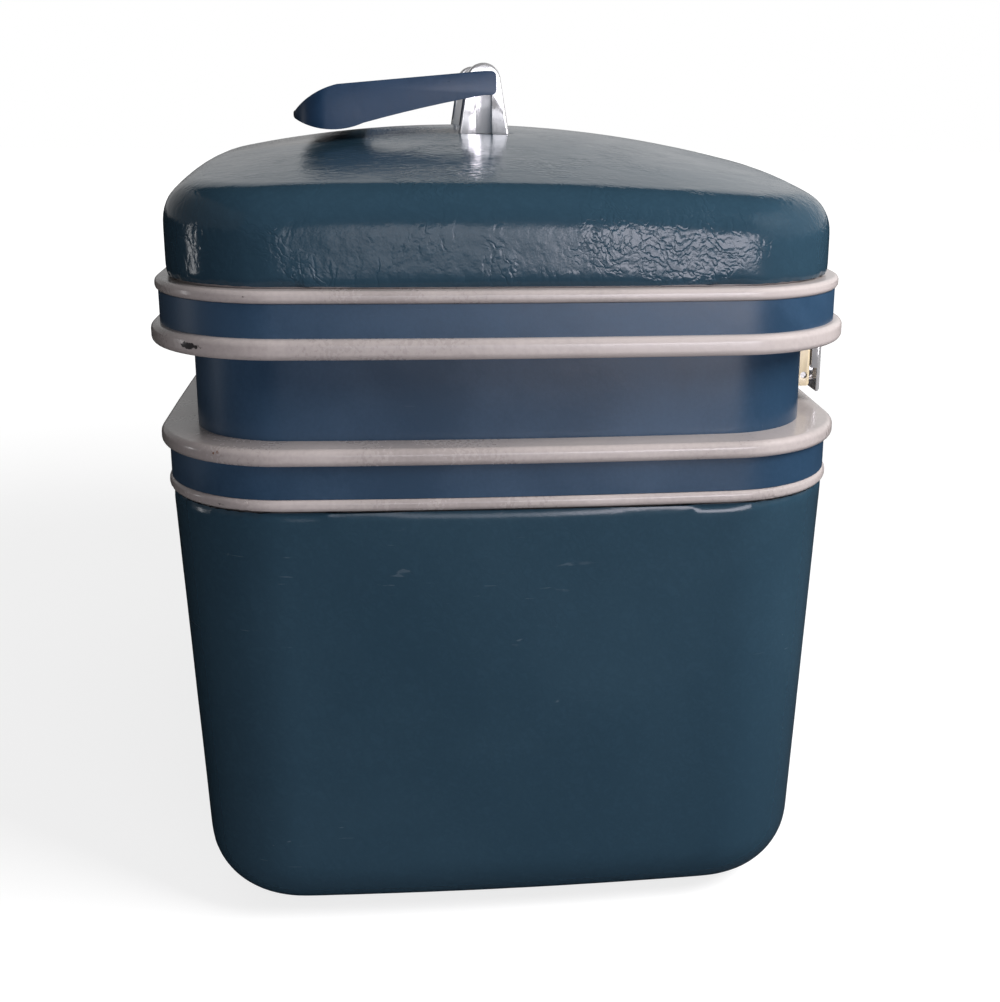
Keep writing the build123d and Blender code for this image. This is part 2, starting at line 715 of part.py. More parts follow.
# Rivets: through the body leaves and the neck, and up through the lid leaves into the frame
with BuildPart() as body_rivets:
    for middle in hinge_places.values():
        for x in (middle - rivet_spacing / 2, middle + rivet_spacing / 2):
            head_plane = Plane(origin=(x, side_reach(middle, neck_inset) + hinge_leaf, body_rivet_height),
                               x_dir=(1, 0, 0), z_dir=(0, 1, 0))
            with BuildSketch(head_plane):
                Circle(rivet_head_radius)
            extrude(amount=rivet_head)
            with BuildSketch(head_plane):
                Circle(rivet_radius)
            extrude(amount=-(hinge_leaf + band_wall + frame_wall))
keep(body_rivets, "hinge_rivets_body")

with BuildPart() as lid_rivets:
    for middle in hinge_places.values():
        for x in (middle - rivet_spacing / 2, middle + rivet_spacing / 2):
            head_plane = Plane(origin=(x, side_reach(x, neck_inset) + lid_rivet_reach, lid_low - hinge_leaf),
                               x_dir=(1, 0, 0), z_dir=(0, 0, 1))
            with BuildSketch(head_plane):
                Circle(rivet_radius)
            extrude(amount=hinge_leaf + frame_wall - running_gap)
keep(lid_rivets, "hinge_rivets_lid")

# Latches: base, sprung hasp with its slide button and lock, and the catch under the lid's bead
half_latch = latch_width / 2
half_pocket = half_latch - latch_cheek
base_low = ledge_top + latch_base_rise
base_high = neck_top - latch_top_gap
hasp_low = ledge_top + hasp_rise
hasp_high = neck_top - hasp_top_gap
plate_back = hasp_reach - hasp_plate
latch_pin_level = ledge_top + latch_pin_rise
hook_low = neck_top - hook_drop - hook_thickness
tip_low = hook_low - hook_tip_drop
button_level = ledge_top + button_rise
lock_level = ledge_top + lock_rise
bolt_end = half_pocket + bolt_engagement
for latch_name, latch_x in latch_places.items():
    plane = front_plane(latch_x)
    pin_point = (latch_pin_reach, latch_pin_level)
    bolt_low = button_level - bolt_height / 2
    bolt_high = button_level + bolt_height / 2
    with BuildPart() as base:
        add(block(plane, (-latch_back_wall, base_low), (latch_base_reach, base_high), half_latch))
        front_edges = base.faces().sort_by(Axis.Y)[0].edges()
        fillet(front_edges, hasp_rounding)
        add(block(plane, (latch_back_wall, base_low - latch_floor_cut), (hasp_reach, neck_top), half_pocket),
            mode=Mode.SUBTRACT)
        add(neck_core, mode=Mode.SUBTRACT)
        add(rod(plane, pin_point, latch_pin_radius + running_gap, half_latch), mode=Mode.SUBTRACT)
        add(block(plane.offset(-half_pocket), (bolt_reach - seam * 3, bolt_low - seam * 3),
                  (bolt_reach + bolt_depth + seam * 3, bolt_high + seam * 3), bolt_engagement + seam * 3),
            mode=Mode.SUBTRACT)
        add(cross_bars(-1, {latch_name: latch_x}, latch_rivet_spacing, latch_rivet_height,
                       rivet_radius + running_gap), mode=Mode.SUBTRACT)
    keep(base, f"latch_base_{latch_name}")

    with BuildPart() as latch_pin:
        add(rod(plane, pin_point, latch_pin_radius, half_latch - latch_cheek / 4))
    keep(latch_pin, f"latch_pin_{latch_name}")

    with BuildPart() as hasp:
        add(block(plane, (plate_back, hasp_low), (hasp_reach, hasp_high), half_latch))
        fillet(hasp.faces().sort_by(Axis.Y)[0].edges(), hasp_rounding)
        for side in (-1, 1):
            add(block(plane.offset(side * (half_latch - hasp_rim / 2)),
                      (latch_base_reach + seat_gap, latch_pin_level + lug_radius),
                      (plate_back, hasp_high - hasp_rounding), hasp_rim / 2))
            lug_plane = plane.offset(side * lug_offset)
            add(rod(lug_plane, pin_point, lug_radius, lug_width / 2))
            add(block(lug_plane, (latch_pin_reach, latch_pin_level - lug_radius),
                      (plate_back, latch_pin_level + lug_radius), lug_width / 2))
        add(block(plane, (hook_tip_reach, hook_low), (plate_back, hook_low + hook_thickness), hook_width / 2))
        add(block(plane, (hook_tip_reach, tip_low), (hook_tip_reach + hook_tip, hook_low), hook_width / 2))
        add(rod(plane, pin_point, latch_pin_radius + running_gap, half_latch), mode=Mode.SUBTRACT)
        window_low = (plate_back - hasp_plate, button_level - button_height / 2 - seam * 2)
        window_high = (hasp_reach + hasp_plate, button_level + button_height / 2 + seam * 2)
        add(block(plane.offset(button_travel / 2), window_low, window_high,
                  (button_width + button_travel) / 2 + seam * 2), mode=Mode.SUBTRACT)
        lock_start = -side_reach(latch_x, neck_inset) - hasp_reach - 1
        with BuildSketch(Plane(origin=(latch_x, lock_start, lock_level), x_dir=(1, 0, 0), z_dir=(0, 1, 0))):
            Circle(lock_radius + running_gap)
        extrude(amount=hasp_plate + 2, mode=Mode.SUBTRACT)
    keep(hasp, f"latch_hasp_{latch_name}")

    open_plane = plane.offset(button_travel)
    with BuildPart() as button:
        pad_front = hasp_reach + button_proud
        add(block(open_plane, (plate_back - seam, button_level - button_height / 2),
                  (pad_front, button_level + button_height / 2), button_width / 2))
        for rib in (-3, -1, 1, 3):
            groove_x = rib * button_width / 10
            add(block(open_plane.offset(groove_x), (pad_front - button_proud, button_level - button_height),
                      (pad_front + 1, button_level + button_height), button_width / 30), mode=Mode.SUBTRACT)
        flange_back = plate_back - seam - button_flange
        flange_half = button_width / 2 + button_travel + button_lap
        add(block(open_plane, (flange_back, button_level - button_height / 2 - button_lap),
                  (plate_back - seam, button_level + button_height / 2 + button_lap), flange_half))
        bolt_start = flange_half - 2 * button_flange
        add(block(open_plane.offset(-(flange_half - button_flange)), (bolt_reach, bolt_low),
                  (flange_back, bolt_high), button_flange))
        add(block(open_plane.offset(-(bolt_start + bolt_end) / 2), (bolt_reach, bolt_low),
                  (bolt_reach + bolt_depth, bolt_high), (bolt_end - bolt_start) / 2))
    keep(button, f"latch_button_{latch_name}")

    with BuildPart() as lock:
        lock_face = Plane(origin=(latch_x, -side_reach(latch_x, neck_inset) - hasp_reach, lock_level),
                          x_dir=(1, 0, 0), z_dir=(0, 1, 0))
        with BuildSketch(lock_face.offset(-button_proud / 2)):
            Circle(lock_radius)
        extrude(amount=hasp_plate + button_proud / 2)
        with BuildSketch(lock_face.offset(-button_proud)):
            SlotOverall(lock_radius * 1.1, lock_radius * 0.3, rotation=90)
        extrude(amount=hasp_plate * 0.8, mode=Mode.SUBTRACT)
    keep(lock, f"latch_lock_{latch_name}")

    with BuildPart() as catch:
        lip_high = tip_low - seam * 2
        lip_low = lip_high - catch_lip
        add(block(plane, (hook_tip_reach - catch_web_reach, neck_top - catch_plate),
                  (latch_base_reach, neck_top), catch_width / 2))
        add(block(plane, (catch_web_reach, lip_low), (catch_web_reach + catch_web, neck_top),
                  catch_width / 2))
        add(block(plane, (catch_web_reach, lip_low), (catch_lip_reach, lip_high), catch_width / 2))
    keep(catch, f"latch_catch_{latch_name}")

    spring_back = latch_back_wall + seam + spring_thickness / 2
    spring_tip = (latch_pin_reach + spring_reach, latch_pin_level + spring_thickness)
    spring_bend = (latch_pin_reach - latch_pin_radius, latch_pin_level + 2 * latch_pin_radius)
    spring_foot = (spring_back, latch_pin_level + lug_radius + spring_thickness)
    spring_head = (spring_back, latch_pin_level + spring_rise)
    with BuildPart() as spring:
        with BuildSketch(plane):
            with BuildLine():
                Polyline(spring_tip, spring_bend, spring_foot, spring_head)
            trace(line_width=spring_thickness)
        extrude(amount=spring_width / 2, both=True)
    keep(spring, f"latch_spring_{latch_name}")

# Rivets that hold the latch bases on the neck
with BuildPart() as latch_rivets:
    for middle in latch_places.values():
        for x in (middle - latch_rivet_spacing / 2, middle + latch_rivet_spacing / 2):
            head_start = -side_reach(middle, neck_inset) - latch_back_wall
            head_plane = Plane(origin=(x, head_start, latch_rivet_height), x_dir=(1, 0, 0), z_dir=(0, -1, 0))
            with BuildSketch(head_plane):
                Circle(rivet_radius * 1.3)
            extrude(amount=rivet_head * 0.4)
            with BuildSketch(head_plane):
                Circle(rivet_radius)
            extrude(amount=-(latch_back_wall + band_wall + frame_wall))
keep(latch_rivets, "latch_rivets")

# Folding stay: two links that keep a parallelogram with the hinge, their rivet and brackets
hinge_point = (side_reach(hinge_spacing / 2, neck_inset) + hinge_axis_reach, hinge_height)
body_pivot = (stay_body_y, neck_top - stay_body_drop)
lid_pivot = (stay_lid_y, neck_top + stay_lid_rise)
elbow = (body_pivot[0] + lid_pivot[0] - hinge_point[0], body_pivot[1] + lid_pivot[1] - hinge_point[1])
lower_near = stay_plane - stay_thickness
upper_near = lower_near - stay_gap - stay_thickness


def cross_rod(near, far, place, radius):
    """Round bar along X at a (y, height) place, from near to far."""
    with BuildPart() as bar:
        with BuildSketch(cross_plane(near, place[0], place[1])):
            Circle(radius)
        extrude(amount=far - near)
    return bar.part


def link(start, end, near):
    """Flat link between two (y, height) places with a hole at each, its near side at x = near."""
    angle = degrees(atan2(end[1] - start[1], end[0] - start[0]))
    length = hypot(end[0] - start[0], end[1] - start[1])
    with BuildPart() as bar:
        with BuildSketch(cross_plane(near, (start[0] + end[0]) / 2, (start[1] + end[1]) / 2)):
            SlotOverall(length + stay_width, stay_width, rotation=angle)
        extrude(amount=stay_thickness)
        for place in (start, end):
            add(cross_rod(near, near + stay_thickness, place, stay_pin_radius + running_gap),
                mode=Mode.SUBTRACT)
    return bar.part


with BuildPart() as stay_lower:
    add(link(body_pivot, elbow, lower_near))
keep(stay_lower, "stay_lower_link")

with BuildPart() as stay_upper:
    add(link(lid_pivot, elbow, upper_near))
keep(stay_upper, "stay_upper_link")

with BuildPart() as stay_rivet:
    add(cross_rod(upper_near - rivet_head, stay_plane + seam + rivet_head, elbow, stay_pin_radius))
    add(cross_rod(upper_near - rivet_head, upper_near - running_gap, elbow, rivet_head_radius))
    add(cross_rod(stay_plane + seam, stay_plane + seam + rivet_head, elbow, rivet_head_radius))
keep(stay_rivet, "stay_elbow_rivet")

body_wall_x = end_reach(stay_body_y, neck_inner_inset)
with BuildPart() as stay_body_bracket:
    with Locations((body_wall_x, body_pivot[0], body_pivot[1])):
        Box(2 * (body_wall_x - stay_plane - stay_gap), 1.6 * stay_width, 1.2 * stay_width)
    add(column(neck_inner_inset + running_gap, ledge_top - tuck_depth, neck_top), mode=Mode.INTERSECT)
    add(cross_rod(lower_near - stay_gap / 2, stay_plane + 2 * stay_gap, body_pivot, stay_pin_radius))
keep(stay_body_bracket, "stay_body_bracket")

lid_foot_x = end_reach(stay_lid_y, flange_inset)
foot_low = lid_low + frame_wall
riser_high = lid_pivot[1] + stay_width / 2
with BuildPart() as stay_lid_bracket:
    with Locations((lid_foot_x + 0.4 * stay_width, lid_pivot[0], foot_low + stay_thickness / 2)):
        Box(0.7 * stay_width, 1.6 * stay_width, stay_thickness)
    with Locations((lid_foot_x + stay_thickness, lid_pivot[0], (foot_low + riser_high) / 2)):
        Box(stay_thickness, 1.6 * stay_width, riser_high - foot_low)
    add(cross_rod(upper_near - stay_gap / 2, lid_foot_x + stay_thickness, lid_pivot, stay_pin_radius))
    add(cross_rod(stay_plane - stay_thickness, lid_foot_x + stay_thickness, lid_pivot, 1.4 * stay_pin_radius))
keep(stay_lid_bracket, "stay_lid_bracket")
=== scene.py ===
import json
from bisect import bisect_right
from math import atan2, cos, hypot, pi, radians, sin, sqrt

import bmesh
import bpy
from bpy.props import FloatProperty, FloatVectorProperty, IntProperty, PointerProperty
from mathutils import Matrix, Vector

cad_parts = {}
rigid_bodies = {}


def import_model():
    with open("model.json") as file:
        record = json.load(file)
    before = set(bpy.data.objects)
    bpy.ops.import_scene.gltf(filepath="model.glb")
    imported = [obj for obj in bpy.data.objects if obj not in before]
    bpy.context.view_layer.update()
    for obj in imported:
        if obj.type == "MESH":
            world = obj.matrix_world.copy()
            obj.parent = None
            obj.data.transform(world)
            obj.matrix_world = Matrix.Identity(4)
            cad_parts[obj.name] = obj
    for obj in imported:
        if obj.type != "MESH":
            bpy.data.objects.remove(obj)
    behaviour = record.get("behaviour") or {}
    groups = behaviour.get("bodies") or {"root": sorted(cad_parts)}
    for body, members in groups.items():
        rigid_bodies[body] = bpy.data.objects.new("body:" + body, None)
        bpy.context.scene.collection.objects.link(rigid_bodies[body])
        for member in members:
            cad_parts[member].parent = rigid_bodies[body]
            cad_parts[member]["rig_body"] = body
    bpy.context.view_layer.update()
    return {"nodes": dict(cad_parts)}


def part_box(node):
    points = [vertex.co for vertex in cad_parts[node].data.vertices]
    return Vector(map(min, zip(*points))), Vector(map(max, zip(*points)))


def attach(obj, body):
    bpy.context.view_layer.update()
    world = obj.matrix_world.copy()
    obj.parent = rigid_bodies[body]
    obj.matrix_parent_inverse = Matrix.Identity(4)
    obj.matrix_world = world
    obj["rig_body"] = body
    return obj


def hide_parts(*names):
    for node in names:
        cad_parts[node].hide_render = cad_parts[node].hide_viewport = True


bl_info = {
    "name": "Cosmetic Train Case",
    "version": (1, 0, 0),
    "blender": (4, 5, 0),
    "location": "View3D > Sidebar > Train Case",
    "description": "Dresses a packed train case: grained shells, painted frames, fittings, quilted lining",
    "category": "Object",
}

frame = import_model()
nodes = frame["nodes"]


# Sizes and colours

def length(name, description, default):
    """A size in metres that shows in the panel."""
    return FloatProperty(name=name, description=description, default=default, unit="LENGTH", precision=5)


def colour(name, description, default):
    """A colour that shows in the panel."""
    return FloatVectorProperty(name=name, description=description, default=default, subtype="COLOR", size=3,
                               min=0.0, max=1.0)


class CaseSizes(bpy.types.PropertyGroup):
    """Sizes of the pieces made here; the frame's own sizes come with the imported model."""
    shell_voxel: length("Shell Mesh", "Mesh size of the shells' even skins", 0.0021)
    handle_edge: length("Handle Edge", "Rounding along the handle's edges", 0.0014)
    post_edge: length("Post Edge", "Rounding along the posts' edges", 0.0006)
    fitting_edge: length("Fitting Edge", "Rounding along the edges of latches and hinges", 0.00025)
    rivet_radius: length("Rivet Head", "Radius of the hinge rivets' domed heads", 0.0031)
    rivet_rise: length("Rivet Rise", "Height of the hinge rivets' domed heads", 0.0012)
    quilt_size: length("Quilt Size", "Width of a diamond in the quilted lining", 0.026)
    quilt_puff: length("Quilt Puff", "How far a diamond stands proud of its seams", 0.0019)
    stitch_pitch: length("Stitch Pitch", "Distance from one stitch to the next", 0.0042)
    stitch_size: length("Stitch Size", "Thickness of the sewing thread", 0.0005)
    column_count: IntProperty(name="Lining Columns", description="Mesh columns round a quarter of the lining",
                              default=88, min=24)


class CaseColours(bpy.types.PropertyGroup):
    """Colours of the case's finishes."""
    shell: colour("Shell", "Grained shells of body and lid", (0.018, 0.042, 0.064))
    shell_light: colour("Shell Light", "Paler patches of the shells", (0.022, 0.050, 0.075))
    band: colour("Band", "Smooth bands between the beads", (0.0155, 0.039, 0.074))
    bead: colour("Bead", "Painted beads of the frames", (0.335, 0.297, 0.287))
    chip: colour("Chip", "Dark metal where the paint is chipped", (0.018, 0.014, 0.016))
    rust: colour("Rust", "Rust in a chip of the paint", (0.14, 0.060, 0.030))
    handle: colour("Handle", "Moulded handle", (0.009, 0.028, 0.062))
    bright: colour("Bright Metal", "Plated posts and latch plates", (0.80, 0.79, 0.79))
    steel: colour("Steel", "Plain fittings", (0.45, 0.45, 0.44))
    enamel: colour("Enamel", "Beige latch bases", (0.60, 0.50, 0.34))
    cloth: colour("Cloth", "Quilted lining", (0.16, 0.24, 0.36))
    thread: colour("Thread", "Stitches of the lining", (0.30, 0.38, 0.48))
    tray: colour("Tray", "Moulded tray and its rails", (0.17, 0.26, 0.36))
    bezel: colour("Bezel", "Mirror bezel", (0.07, 0.12, 0.20))
    stud: colour("Stud", "Studs under the case", (0.012, 0.012, 0.014))
    floor: colour("Floor", "Floor under the case", (0.35, 0.35, 0.35))


# Node helpers

def plug(tree, socket, value):
    """Link an input to a socket, or set its value; a colour may come without its alpha."""
    if isinstance(value, bpy.types.NodeSocket):
        tree.links.new(value, socket)
    elif socket.type == "RGBA" and len(value) == 3:
        socket.default_value = (*value, 1.0)
    else:
        socket.default_value = value


def add_node(tree, kind, inputs=None, **settings):
    """Add a node to a tree; a value or a socket goes to each named input."""
    made = tree.nodes.new(kind)
    for name, value in settings.items():
        setattr(made, name, value)
    for name, value in (inputs or {}).items():
        plug(tree, made.inputs[name], value)
    return made


def maths(tree, operation, *values, clamp=False):
    """Result socket of a Math node."""
    made = add_node(tree, "ShaderNodeMath", operation=operation, use_clamp=clamp)
    for socket, value in zip(made.inputs, values):
        plug(tree, socket, value)
    return made.outputs[0]


def vector_maths(tree, operation, *values):
    """Result socket of a Vector Math node."""
    made = add_node(tree, "ShaderNodeVectorMath", operation=operation)
    for socket, value in zip(made.inputs, values):
        plug(tree, socket, value)
    return made.outputs["Value" if operation == "LENGTH" else "Vector"]


def times(tree, first, second):
    """Product of two values."""
    return maths(tree, "MULTIPLY", first, second)


def line(tree, value, slope, start):
    """A value times a slope, plus a start."""
    return maths(tree, "MULTIPLY_ADD", value, slope, start)


def ramp(tree, value, low, high):
    """Value mapped smoothly from low..high to 0..1."""
    return add_node(tree, "ShaderNodeMapRange", {"Value": value, "From Min": low, "From Max": high},
                    interpolation_type="SMOOTHSTEP").outputs["Result"]


def split(tree, vector):
    """The three parts of a vector, by their names."""
    return add_node(tree, "ShaderNodeSeparateXYZ", {"Vector": vector}).outputs


def mix_colour(tree, share, first, second):
    """Mix of two colours by a share."""
    made = add_node(tree, "ShaderNodeMix", data_type="RGBA")
    for number, value in ((0, share), (6, first), (7, second)):
        plug(tree, made.inputs[number], value)
    return made.outputs[2]


def noise(tree, vector, scale, detail=2.0, roughness=0.5, distortion=0.0):
    """Value of a noise texture on a vector."""
    made = add_node(tree, "ShaderNodeTexNoise", {"Vector": vector, "Scale": scale, "Detail": detail,
                                                 "Roughness": roughness, "Distortion": distortion})
    return made.outputs["Fac"]


def voronoi(tree, vector, scale, feature):
    """Distance that a cell texture on a vector gives."""
    return add_node(tree, "ShaderNodeTexVoronoi", {"Vector": vector, "Scale": scale},
                    feature=feature).outputs["Distance"]


FLOAT, VECTOR, COLOUR = "NodeSocketFloat", "NodeSocketVector", "NodeSocketColor"


def new_group(kind, name, inputs, outputs):
    """Node group with named sockets; returns the tree, its inputs and its output's inputs."""
    tree = bpy.data.node_groups.new(name, kind)
    for label, socket_type, default in inputs:
        socket = tree.interface.new_socket(label, in_out="INPUT", socket_type=socket_type)
        if default is not None:
            socket.default_value = default
    for label, socket_type in outputs:
        tree.interface.new_socket(label, in_out="OUTPUT", socket_type=socket_type)
    return tree, tree.nodes.new("NodeGroupInput").outputs, tree.nodes.new("NodeGroupOutput").inputs


def use_group(tree, name, **inputs):
    """Outputs of a named group's node with its inputs set."""
    made = add_node(tree, "ShaderNodeGroup", node_tree=bpy.data.node_groups[name])
    for label, value in inputs.items():
        plug(tree, made.inputs[label], value)
    return made.outputs


# Shared effects

def make_wrinkles():
    """Crumpled skin: valleys along the edges of bent cells, 0 in a valley and 1 on the flats."""
    tree, given, put = new_group("ShaderNodeTree", "wrinkles", [
        ("Vector", VECTOR, None), ("Stretch", VECTOR, (1.0, 1.0, 1.0)), ("Turn", FLOAT, 0.0),
        ("Scale", FLOAT, 300.0), ("Width", FLOAT, 0.15), ("Bend", FLOAT, 0.006)], [("Height", FLOAT)])
    bend = noise(tree, given["Vector"], 90.0, 3.0, 0.6).node.outputs["Color"]
    bend = vector_maths(tree, "SCALE", vector_maths(tree, "SUBTRACT", bend, (0.5, 0.5, 0.5)))
    plug(tree, bend.node.inputs["Scale"], given["Bend"])
    bent = vector_maths(tree, "ADD", given["Vector"], bend)
    turned = add_node(tree, "ShaderNodeVectorRotate", {
        "Vector": bent, "Axis": (1.0, 0.0, 0.0), "Angle": given["Turn"]}, rotation_type="AXIS_ANGLE")
    stretched = vector_maths(tree, "MULTIPLY", turned.outputs["Vector"], given["Stretch"])
    edge = voronoi(tree, stretched, given["Scale"], "DISTANCE_TO_EDGE")
    away = maths(tree, "DIVIDE", edge, given["Width"], clamp=True)
    plug(tree, put["Height"], maths(tree, "SMOOTH_MAX", away, 0.0, 0.25))


def make_crushed_grain():
    """Crushed leather grain: pores, a net of wrinkles, slanting and upright wrinkles in patches, swells."""
    tree, given, put = new_group("ShaderNodeTree", "crushed_grain", [("Vector", VECTOR, None)],
                                 [("Height", FLOAT), ("Mask", FLOAT)])
    place = given["Vector"]
    net = use_group(tree, "wrinkles", Vector=place, Turn=-0.35, Stretch=(1.0, 0.6, 1.25), Scale=240.0,
                    Width=0.20, Bend=0.020)["Height"]
    slanted = use_group(tree, "wrinkles", Vector=place, Turn=0.7, Stretch=(1.0, 1.0, 0.30), Scale=230.0,
                        Width=0.20, Bend=0.014)["Height"]
    upright = use_group(tree, "wrinkles", Vector=place, Turn=-0.1, Stretch=(1.0, 1.0, 0.22), Scale=210.0,
                        Width=0.16, Bend=0.009)["Height"]
    net_patch = ramp(tree, noise(tree, place, 26.0, 3.0), 0.50, 0.64)
    slanted_patch = ramp(tree, noise(tree, place, 21.0, 3.0, 0.5, 0.5), 0.50, 0.66)
    upright_patch = ramp(tree, noise(tree, place, 33.0, 2.0, 0.5, 1.0), 0.48, 0.60)
    height = times(tree, net, line(tree, net_patch, 0.40, 0.03))
    height = line(tree, slanted, line(tree, slanted_patch, 0.55, 0.03), height)
    height = line(tree, upright, times(tree, upright_patch, 0.26), height)
    height = line(tree, noise(tree, place, 190.0, 3.0, 0.55), 0.70, height)
    height = line(tree, noise(tree, place, 52.0), 1.10, height)
    height = line(tree, voronoi(tree, place, 1150.0, "F1"), 0.04, height)
    plug(tree, put["Height"], height)
    # Mask: 0 in the valleys of the net and the slanting wrinkles, where the shell paints shade
    plug(tree, put["Mask"], maths(tree, "MINIMUM", net, slanted))


def make_mottle():
    """Slow change between two colours, with a little fine speckle."""
    tree, given, put = new_group("ShaderNodeTree", "mottle", [
        ("Vector", VECTOR, None), ("Dark", COLOUR, None), ("Light", COLOUR, None), ("Size", FLOAT, 14.0)],
        [("Color", COLOUR), ("Fac", FLOAT)])
    slow = noise(tree, given["Vector"], given["Size"], 3.0, 0.6, 0.6)
    fine = noise(tree, given["Vector"], 700.0)
    share = ramp(tree, line(tree, fine, 0.25, slow), 0.42, 0.82)
    plug(tree, put["Color"], mix_colour(tree, share, given["Dark"], given["Light"]))
    plug(tree, put["Fac"], share)


def make_chip():
    """Mask of one ragged chip at a place."""
    tree, given, put = new_group("ShaderNodeTree", "chip", [
        ("Vector", VECTOR, None), ("Place", VECTOR, None), ("Spread", VECTOR, (0.003, 0.003, 0.0015)),
        ("Ragged", FLOAT, 0.5)], [("Mask", FLOAT)])
    away = vector_maths(tree, "SUBTRACT", given["Vector"], given["Place"])
    away = vector_maths(tree, "LENGTH", vector_maths(tree, "DIVIDE", away, given["Spread"]))
    rag = maths(tree, "SUBTRACT", noise(tree, given["Vector"], 620.0, 3.0, 0.7), 0.5)
    away = line(tree, times(tree, rag, given["Ragged"]), 4.0, away)
    plug(tree, put["Mask"], maths(tree, "SUBTRACT", 1.0, ramp(tree, away, 0.85, 1.05)))


def make_scuffs():
    """Mask of fine scratches and rubbed specks."""
    tree, given, put = new_group("ShaderNodeTree", "scuffs", [
        ("Vector", VECTOR, None), ("Amount", FLOAT, 0.5)], [("Mask", FLOAT)])
    place = given["Vector"]
    level = noise(tree, vector_maths(tree, "MULTIPLY", place, (60.0, 60.0, 1500.0)), 1.0, 3.0, 0.6, 0.4)
    slant = noise(tree, vector_maths(tree, "MULTIPLY", place, (900.0, 70.0, 260.0)), 1.0, 2.0, 0.6, 0.3)
    lines = maths(tree, "MAXIMUM", ramp(tree, level, 0.68, 0.74), ramp(tree, slant, 0.70, 0.76))
    kept = times(tree, lines, ramp(tree, noise(tree, place, 21.0), 0.50, 0.64))
    plug(tree, put["Mask"], maths(tree, "MULTIPLY", kept, given["Amount"], clamp=True))


def make_weave():
    """Plain weave on a map in metres: height of the threads, and their shade for painted shade, low between
    them.
    """
    tree, given, put = new_group("ShaderNodeTree", "weave", [
        ("Vector", VECTOR, None), ("Threads", FLOAT, 2400.0)], [("Height", FLOAT), ("Shade", FLOAT)])
    parts = split(tree, given["Vector"])
    across, along = (maths(tree, "SINE", times(tree, parts[axis], given["Threads"])) for axis in "XY")
    height = line(tree, times(tree, across, along), 0.5, noise(tree, given["Vector"], 900.0))
    plug(tree, put["Height"], height)
    plug(tree, put["Shade"], ramp(tree, height, -0.1, 1.1))


def make_groups():
    """Build each shared effect once."""
    for name, maker in (("wrinkles", make_wrinkles), ("crushed_grain", make_crushed_grain),
                        ("mottle", make_mottle), ("chip", make_chip), ("scuffs", make_scuffs),
                        ("weave", make_weave)):
        if name not in bpy.data.node_groups:
            maker()


def once(maker):
    """Make a finish's material when it is first asked for; it has its maker's name."""
    def kept():
        name = maker.__name__
        if name not in bpy.data.materials:
            make_groups()
            material = bpy.data.materials.new(name)
            material.use_nodes = True
            tree = material.node_tree
            maker(tree, tree.nodes["Principled BSDF"], tree.nodes.new("ShaderNodeTexCoord").outputs["Object"],
                  bpy.context.scene.case_colours)
        return bpy.data.materials[name]
    return kept


def finish(tree, shader, **inputs):
    """Set or link the shader's inputs; an underscore stands for a space."""
    for label, value in inputs.items():
        plug(tree, shader.inputs[label.replace("_", " ")], value)


def bump(tree, shader, height, distance, strength):
    """Bump node that feeds the shader's normal."""
    made = add_node(tree, "ShaderNodeBump", {"Height": height, "Distance": distance, "Strength": strength})
    plug(tree, shader.inputs["Normal"], made.outputs["Normal"])


def shade(tint, by, plus=0.0):
    """A colour made lighter or darker."""
    return tuple(min(1.0, part * by + plus) for part in tint)


def worn(tree, place, dark, light, size, scuffs, share, rubbed):
    """Mottled colour with rubbed scratches: the colour, the mottle's share and the scratches' mask."""
    mottle = use_group(tree, "mottle", Vector=place, Dark=dark, Light=light, Size=size)
    scuff = use_group(tree, "scuffs", Vector=place, Amount=scuffs)["Mask"]
    return mix_colour(tree, times(tree, scuff, share), mottle["Color"], rubbed), mottle["Fac"], scuff


# Finishes

# The grain fades out from the lid down to the body, between these heights in metres
GRAIN_LOW, GRAIN_HIGH = 0.16, 0.24

# Places of wear on the beads, in metres in the case's frame: middle, spread and raggedness
BEAD_CHIPS = [
    ((-0.1600, 0.1030, 0.2120), (0.004, 0.0045, 0.0012), 0.45),
    ((-0.1640, 0.0980, 0.2290), (0.003, 0.0040, 0.0007), 0.50),
    ((-0.1680, 0.0840, 0.2285), (0.002, 0.0022, 0.0005), 0.50),
    ((-0.1590, 0.0930, 0.1600), (0.002, 0.0030, 0.0006), 0.50),
]
RUST_SPOT = ((-0.1640, 0.0960, 0.1780), (0.0022, 0.0022, 0.0012), 0.50)

CLOTH_MAP = "cloth_map"
WHITE = (1.0, 1.0, 1.0)


@once
def grained_shell(tree, shader, place, tints):
    """Glossy moulded grain in dark blue, a little greener and paler in patches, specks of wear, painted shade
    in creases.
    """
    grain = use_group(tree, "crushed_grain", Vector=place)
    mottle = use_group(tree, "mottle", Vector=place, Dark=tints.shell, Light=tints.shell_light, Size=9.0)
    scuff = use_group(tree, "scuffs", Vector=place, Amount=0.55)["Mask"]
    # Painted shade: the grain's creases, where its mask is 0, are darkened a little
    crease_shaded = mix_colour(tree, line(tree, grain["Mask"], -0.08, 0.08), mottle["Color"], (0.002, 0.006, 0.010))
    finish(tree, shader, Base_Color=mix_colour(tree, times(tree, scuff, 0.5), crease_shaded, (0.085, 0.115, 0.14)),
           Roughness=line(tree, scuff, 0.25, line(tree, mottle["Fac"], 0.06, 0.15)), Specular_IOR_Level=0.34)
    share = line(tree, ramp(tree, split(tree, place)["Z"], GRAIN_LOW, GRAIN_HIGH), 0.85, 0.15)
    bump(tree, shader, times(tree, grain["Height"], share), 0.00020, 0.8)


@once
def smooth_band(tree, shader, place, tints):
    """Satin blue band with faint scuffs."""
    paint, mottle, scuff = worn(tree, place, tints.band, shade(tints.band, 1.35, 0.004), 16.0, 0.8, 0.45,
                                (0.11, 0.15, 0.20))
    finish(tree, shader, Base_Color=paint, Roughness=line(tree, scuff, 0.2, line(tree, mottle, 0.10, 0.30)),
           Specular_IOR_Level=0.4)
    fine = noise(tree, place, 1300.0, 3.0)
    bump(tree, shader, line(tree, noise(tree, place, 70.0), 1.3, times(tree, fine, 0.25)), 0.00010, 0.7)


